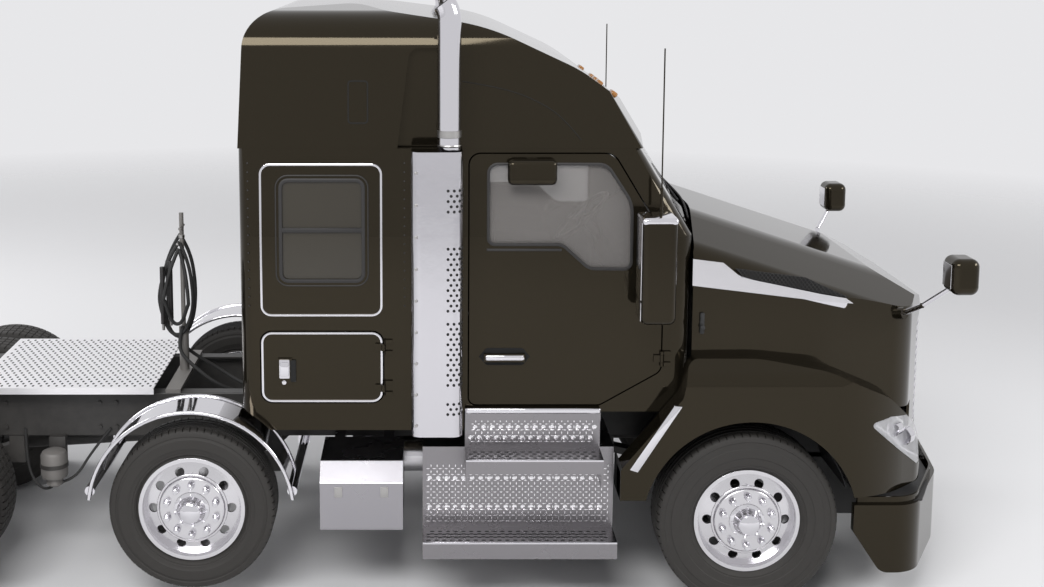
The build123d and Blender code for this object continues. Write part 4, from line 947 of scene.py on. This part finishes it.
def lozenges(length, width, size, place):
    """Raised pattern of tread plate over a rectangle, lozenges in two directions, moved by a matrix."""
    pitch = size * 1.15
    height, sunk = 0.003, 0.0005
    count_u = int((length - size) / pitch)
    count_v = int((width - size) / pitch)
    margin_u = (length - (count_u - 0.5) * pitch) / 2
    margin_v = (width - (count_v - 0.5) * pitch) / 2
    parts = []
    for share in (0.0, 0.5):
        bpy.ops.mesh.primitive_cone_add(vertices=4, radius1=size / 2, radius2=size / 3, depth=height,
                                        location=(0, 0, 0), scale=(1, 0.34, 1))
        lozenge = settle(bpy.context.object)
        first = (margin_u + pitch * share, margin_v + pitch * share, height / 2 - sunk)
        lozenge.data.transform(Matrix.Translation(first) @ Matrix.Rotation(math.pi * share, 4, "Z"))
        repeated(lozenge, count_u, (pitch, 0, 0))
        repeated(lozenge, count_v, (0, pitch, 0))
        lozenge.data.transform(place)
        parts.append(lozenge)
    return parts


def standing(x, y, z):
    """Place of a pattern on an upright face that looks to the right, from its rear lower corner."""
    return Matrix.Translation((x, y, z)) @ Matrix.Rotation(math.pi / 2, 4, "X")


def slots(first, columns, rows, pitch, long, wide):
    """Dark slots in staggered rows on a level face, from the first one's middle."""
    pieces = []
    for share in (0.0, 0.5):
        place = (first[0] + share * pitch[0], first[1] + share * pitch[1], first[2])
        bpy.ops.mesh.primitive_cylinder_add(vertices=10, radius=1.0, depth=0.0016, location=place,
                                            scale=(long / 2, wide / 2, 1))
        slot = settle(bpy.context.object)
        repeated(slot, columns, (pitch[0], 0, 0))
        pieces.append(repeated(slot, rows, (0, pitch[1], 0)))
    return pieces


UPPER_RISER_Y = -1.070
LOWER_RISER_Y = -1.052


def build_slots():
    """Slots of the treads and of the deck, near-black as painted shade seen through them."""
    treads = slots((1.300, -1.236, 0.9052), 16, 2, (0.044, 0.064), 0.026, 0.013)
    for y, rows in ((-1.236, 2), (-1.190, 1)):
        treads += slots((1.062, y, 0.4302), 23, rows, (0.044, 0.080), 0.026, 0.013)
    finished("tread_slots", both(treads), "hollow")
    deck = slots((-1.640, -0.503, 1.0872), 23, 12, (0.047, 0.0875), 0.014, 0.026)
    finished("deck_slots", deck, "hollow")


def build_risers(looks):
    """Raised pattern and dimples of the risers between the steps, in a bright metal that is painted
    highlight, and the steps' bright lips.
    """
    risers = lozenges(0.75, 0.17, looks.lozenge, standing(1.272, UPPER_RISER_Y, 0.917))
    risers += lozenges(1.07, 0.38, looks.lozenge, standing(1.034, LOWER_RISER_Y, 0.440))
    finished("riser_lozenges", both(risers), "bright")
    dimples = []
    for first, y, z, count in ((1.300, UPPER_RISER_Y, 0.965, 15), (1.325, UPPER_RISER_Y, 1.025, 15),
                               (1.070, LOWER_RISER_Y, 0.550, 21), (1.070, LOWER_RISER_Y, 0.720, 21)):
        dimple = turned([(0.0, -0.0030), (0.008, -0.0026), (0.014, 0.0005), (0.0, 0.0005)], (first, y, z),
                        steps=12)
        dimples.append(repeated(dimple, count, (0.048, 0, 0)))
    finished("riser_dimples", both(dimples), "bright")
    lips = [block((1.268, -1.2735, 0.896), (2.026, -1.262, 0.908), 0.003),
            block((1.030, -1.2735, 0.421), (2.108, -1.262, 0.433), 0.003),
            block((1.268, -1.094, 1.110), (2.026, -1.070, 1.141), 0.008, 3)]
    finished("step_lips", both(lips), "chrome")


def shield_spot(along):
    """Place and turn of a hole of the heat shield, by its distance round from the start of its front bend."""
    bend = 0.055
    turn = min(max(along / bend, 0.0), math.pi / 2)
    x = 1.194 + min(along, 0.0) + bend * math.sin(turn)
    y = -1.213 - bend * math.cos(turn) + max(0.0, along - bend * math.pi / 2)
    return Matrix.Translation((x, y, 0)) @ Matrix.Rotation(turn, 4, "Z")


HOLE_PITCH = 0.0285
STACK_X = 1.175
STACK_Y = -1.160


def build_shield_trim():
    """Perforations and screws of the heat shields; the perforations are near-black, painted shade seen
    through them.
    """
    dots = []
    for first_z, rows in ((1.165, 2), (1.330, 13), (1.745, 13), (2.290, 4)):
        for column in range(7):
            odd = column % 2
            dot = bar((0, 0.001, first_z), (0, -0.0014, first_z), 0.0082, 10)
            place = shield_spot(-0.026 + column * 0.0165)
            dot.data.transform(place @ Matrix.Translation((0, 0, odd * HOLE_PITCH)))
            dots.append(repeated(dot, max(1, rows // 2 + 1 - odd), (0, 0, 2 * HOLE_PITCH)))
    finished("shield_holes", both(dots), "hollow")
    screw = repeated(bar((0.995, -1.266, 1.10), (0.995, -1.2705, 1.10), 0.009, 8, 0.001), 9, (0, 0, 0.175))
    finished("shield_screws", both([screw]), "steel")


def build_stack_trim():
    """Bores in the mouths of the stacks, near-black as painted shade inside them, and a seam and a clamp
    round each.
    """
    sweep, bend = math.radians(38), 0.150
    place = (1.025 + bend * math.cos(sweep), STACK_Y, 3.310 + bend * math.sin(sweep))
    bore = bar((0, 0, -0.002), (0, 0, 0.0008), 0.0595, 32)
    bore.data.transform(Matrix.Translation(place) @ Matrix.Rotation(-sweep, 4, "Y"))
    finished("stack_bores", both([bore]), "hollow")
    seam = turned([(0.0640, -0.010), (0.0660, -0.004), (0.0640, 0.002)], (STACK_X, STACK_Y, 2.640), "Z", 40,
                  closed=True)
    clamp = band(0.0640, 0.0665, 0.020, 0.002, (STACK_X, STACK_Y, 2.700))
    finished("stack_clamps", both([seam, clamp]), "steel")


POST_X = -0.485
HOSE_RADIUS = 0.0115
GRIPS = [(-0.600, -0.070, 1.353, 1.720), (-0.552, -0.062, 1.380, 1.756), (-0.590, 0.070, 1.360, 1.730)]


def hose_loop(y, far, low, top):
    """Hose hanging in a loop before and behind the tender's post, from its ring and back to it."""
    return tube([(POST_X - 0.01, y, top), (POST_X + far * 0.6, y * 2.2, top - 0.10),
                 (POST_X + far, y * 2.6, top - 0.33), (POST_X + far * 0.8, y * 2.2, low + 0.10),
                 (POST_X, y * 1.6, low - 0.03), (POST_X - far * 1.1, y * 1.8, low - 0.02),
                 (POST_X - far * 1.8, y * 2.4, low + 0.14), (POST_X - far * 1.9, y * 2.6, top - 0.30),
                 (POST_X - far, y * 2.0, top - 0.08), (POST_X - 0.012, y, top + 0.01)], HOSE_RADIUS)


def build_hoses():
    """Hoses gathered in loops on the tender's post, and two that run from it into the frame."""
    hoses = [hose_loop(-0.020, 0.075, 1.30, 1.86), hose_loop(0.020, 0.075, 1.27, 1.90),
             hose_loop(-0.045, 0.055, 1.38, 1.82)]
    feed = [(POST_X, -0.03, 1.33), (POST_X - 0.04, -0.06, 1.20), (POST_X + 0.06, -0.10, 1.10),
            (POST_X + 0.20, -0.14, 1.00), (POST_X + 0.34, -0.10, 0.92), (-0.05, -0.05, 0.90)]
    hoses.append(tube(feed, HOSE_RADIUS))
    hoses.append(tube([(x, -y, z) for x, y, z in feed], HOSE_RADIUS))
    finished("tender_hoses", hoses, "rubber")


def build_hose_ends():
    """Grips and fittings at the hoses' ends, and the rings and rod that hold the loops."""
    grips = [bar((x, y, low), (x, y, high), 0.0155, 16, 0.004) for x, y, low, high in GRIPS]
    finished("hose_grips", grips, "black")
    ends = [bar((x, y, low - 0.038), (x, y, low), 0.010, 6, 0.001) for x, y, low, _ in GRIPS]
    ends += [band(0.0140, 0.0190, 0.012, 0.002, (POST_X, 0, z), 20) for z in (1.90, 1.80)]
    ends.append(bar((POST_X - 0.02, -0.055, 1.86), (POST_X - 0.02, 0.055, 1.86), 0.007, 10))
    finished("hose_ends", ends, "steel")


def build_air_dryer():
    """Air dryer on a bracket outside the right rail, with its lines."""
    x, y = -1.185, -0.560
    can = turned([(0.0, 0.715), (0.045, 0.712), (0.070, 0.700), (0.080, 0.680), (0.080, 0.560),
                  (0.074, 0.545), (0.050, 0.540), (0.050, 0.500), (0.030, 0.485), (0.0, 0.485)], (x, y, 0),
                 "Z", 40)
    finished("air_dryer", [can], "cast_grey")
    bracket = [block((x - 0.050, -0.480, 0.560), (x + 0.050, -0.428, 0.760), 0.004),
               block((x - 0.040, y, 0.600), (x + 0.040, -0.470, 0.640), 0.004),
               band(0.0800, 0.0835, 0.012, 0.0, (x, y, 0.62))]
    finished("air_dryer_bracket", bracket, "frame")
    lines = [tube([(x, y, 0.49), (x - 0.06, y + 0.02, 0.44), (x - 0.16, y + 0.10, 0.48),
                   (x - 0.20, -0.44, 0.62), (x - 0.20, -0.436, 0.80)], 0.008),
             tube([(x + 0.05, y, 0.51), (x + 0.12, y + 0.03, 0.52), (x + 0.20, y + 0.10, 0.66),
                   (x + 0.32, -0.436, 0.80)], 0.008)]
    finished("air_dryer_lines", lines, "rubber")


BOLTS_X = (3.72, 3.30, 2.10, 1.50, 1.40, 0.43, 0.33, -0.83, -0.93, -1.50, -2.10, -2.34, -2.78, -3.30,
           -3.70, -3.80, -4.00)


def build_chassis_trim():
    """Bolts on the rails and latches of the polished boxes."""
    bolts = [bar((x, -0.429, z), (x, -0.442, z), 0.013, 6) for x in BOLTS_X for z in (0.81, 0.96)]
    finished("rail_bolts", both(bolts), "frame")
    latches = [block((x - 0.022, -1.182, 0.655), (x + 0.022, -1.172, 0.715), 0.003) for x in (0.560, 0.816)]
    finished("box_latches", both(latches), "steel")


SCREEN_SLOPE = 0.412 / 0.678


def on_screen(y, z):
    """Point of the windscreen at a place across and a height."""
    bow = max(0.0, abs(y) - 0.25) ** 2 * 0.12
    return Vector((2.606 - bow - (z - BELT_Z) * SCREEN_SLOPE, y, z))


def wiper(pivot_y):
    """Arm and blade lying on the lower edge of the windscreen."""
    reach = 0.50
    tip_y = pivot_y + reach
    base, tip = on_screen(pivot_y, 2.135), on_screen(tip_y, 2.30)
    middle = base.lerp(tip, 0.6) + Vector((SCREEN_SLOPE * 0.02 + 0.012, 0, 0.012))
    arm = tube([base, base.lerp(middle, 0.5) + Vector((0.015, 0, 0.01)), middle, tip], 0.006)
    start, end = on_screen(tip_y - reach * 0.55, 2.20), on_screen(tip_y + reach * 0.25, 2.36)
    return [arm, tube([start, start.lerp(end, 0.5), end], 0.007)]


def build_wipers():
    """Two wipers."""
    finished("wipers", wiper(-0.62) + wiper(0.10), "black")


# Panel and operators

def colour_setting(name, description, default):
    """Colour that a user can change."""
    return FloatVectorProperty(name=name, description=description, subtype="COLOR", size=3, min=0, max=1,
                               default=default)


def length_setting(name, description, default):
    """Length that a user can change."""
    return FloatProperty(name=name, description=description, unit="LENGTH", default=default)


class TractorLooks(PropertyGroup):
    """Colours and small sizes of the dressing."""
    paint: colour_setting("Paint", "Body colour", (0.0075, 0.0062, 0.0042))
    chrome: colour_setting("Chrome", "Colour of plated parts", (0.70, 0.69, 0.72))
    aluminium: colour_setting("Aluminium", "Colour of polished sheet and wheels", (0.66, 0.65, 0.67))
    tyre: colour_setting("Tyre", "Colour of the rubber", (0.019, 0.017, 0.015))
    floor: colour_setting("Floor", "Colour of the floor", (0.80, 0.80, 0.81))
    tread_depth: length_setting("Tread depth", "Depth of the tyre grooves", 0.013)
    tread_pitches: IntProperty(name="Tread pitches", description="Cuts round a tyre", default=72, min=24)
    trim_width: length_setting("Trim width", "Width of the bright frames on the sides", 0.013)
    lozenge: length_setting("Lozenge", "Length of a lozenge of the tread plate", 0.030)


class TRACTOR_OT_finishes(Operator):
    """Mix the finishes and paint the solids"""
    bl_idname = "tractor.finishes"
    bl_label = "Finishes"

    def execute(self, context):
        mix_finishes(context.scene.tractor_looks)
        paint_solids()
        return {"FINISHED"}


class TRACTOR_OT_tyres(Operator):
    """Build the moulded tyres"""
    bl_idname = "tractor.tyres"
    bl_label = "Tyres"

    def execute(self, context):
        build_tyres(context.scene.tractor_looks)
        return {"FINISHED"}


class TRACTOR_OT_wheel_trim(Operator):
    """Build nut covers, hub caps and valves"""
    bl_idname = "tractor.wheel_trim"
    bl_label = "Wheel trim"

    def execute(self, context):
        build_wheel_trim()
        return {"FINISHED"}


class TRACTOR_OT_side_trim(Operator):
    """Build the frames, seals, handles and mirrors on the sides"""
    bl_idname = "tractor.side_trim"
    bl_label = "Side trim"

    def execute(self, context):
        build_side_trim(context.scene.tractor_looks)
        build_mirrors()
        return {"FINISHED"}


class TRACTOR_OT_hood_trim(Operator):
    """Build the trim of the hood and the inner fenders"""
    bl_idname = "tractor.hood_trim"
    bl_label = "Hood trim"

    def execute(self, context):
        build_intakes()
        build_hood_trim()
        build_wheel_houses()
        return {"FINISHED"}


class TRACTOR_OT_lamps(Operator):
    """Build the lamps and the trim of the roof"""
    bl_idname = "tractor.lamps"
    bl_label = "Lamps"

    def execute(self, context):
        build_head_lamps()
        build_roof_lamps()
        build_rear_lamps()
        build_roof_trim()
        return {"FINISHED"}


class TRACTOR_OT_steps(Operator):
    """Build the slots, patterns and lips of steps and deck"""
    bl_idname = "tractor.steps"
    bl_label = "Steps and deck"

    def execute(self, context):
        build_slots()
        build_risers(context.scene.tractor_looks)
        return {"FINISHED"}


class TRACTOR_OT_exhaust(Operator):
    """Build the trim of the heat shields and stacks"""
    bl_idname = "tractor.exhaust"
    bl_label = "Exhaust trim"

    def execute(self, context):
        build_shield_trim()
        build_stack_trim()
        return {"FINISHED"}


class TRACTOR_OT_chassis(Operator):
    """Build the hoses, the air dryer, bolts and latches"""
    bl_idname = "tractor.chassis"
    bl_label = "Chassis trim"

    def execute(self, context):
        build_hoses()
        build_hose_ends()
        build_air_dryer()
        build_chassis_trim()
        return {"FINISHED"}


class TRACTOR_OT_wipers(Operator):
    """Build the wipers"""
    bl_idname = "tractor.wipers"
    bl_label = "Wipers"

    def execute(self, context):
        build_wipers()
        return {"FINISHED"}


class TRACTOR_OT_stage(Operator):
    """Build the floor, the lights and the camera"""
    bl_idname = "tractor.stage"
    bl_label = "Stage"

    def execute(self, context):
        build_floor(context.scene.tractor_looks)
        build_world()
        build_lights()
        build_camera()
        return {"FINISHED"}


class TRACTOR_PT_panel(Panel):
    """Settings and steps of the dressing"""
    bl_idname = "TRACTOR_PT_panel"
    bl_label = "Tractor unit"
    bl_space_type = "VIEW_3D"
    bl_region_type = "UI"
    bl_category = "Tractor unit"

    def draw(self, context):
        looks = context.scene.tractor_looks
        for key in TractorLooks.__annotations__:
            self.layout.prop(looks, key)
        for step in STEPS:
            self.layout.operator(step.bl_idname)


STEPS = [TRACTOR_OT_finishes, TRACTOR_OT_tyres, TRACTOR_OT_wheel_trim, TRACTOR_OT_side_trim,
         TRACTOR_OT_hood_trim, TRACTOR_OT_lamps, TRACTOR_OT_steps, TRACTOR_OT_exhaust, TRACTOR_OT_chassis,
         TRACTOR_OT_wipers, TRACTOR_OT_stage]
CLASSES = [TractorLooks, *STEPS, TRACTOR_PT_panel]


def register():
    """Adds the classes and the settings to Blender."""
    for kind in CLASSES:
        bpy.utils.register_class(kind)
    bpy.types.Scene.tractor_looks = PointerProperty(type=TractorLooks)


def unregister():
    """Takes them out again."""
    del bpy.types.Scene.tractor_looks
    for kind in reversed(CLASSES):
        bpy.utils.unregister_class(kind)


def main():
    """Builds everything in order."""
    register()
    clear()
    bpy.ops.tractor.finishes()
    bpy.ops.tractor.tyres()
    bpy.ops.tractor.wheel_trim()
    bpy.ops.tractor.side_trim()
    bpy.ops.tractor.hood_trim()
    bpy.ops.tractor.lamps()
    bpy.ops.tractor.steps()
    bpy.ops.tractor.exhaust()
    bpy.ops.tractor.chassis()
    bpy.ops.tractor.wipers()
    bpy.ops.tractor.stage()


if __name__ == "__main__":
    main()
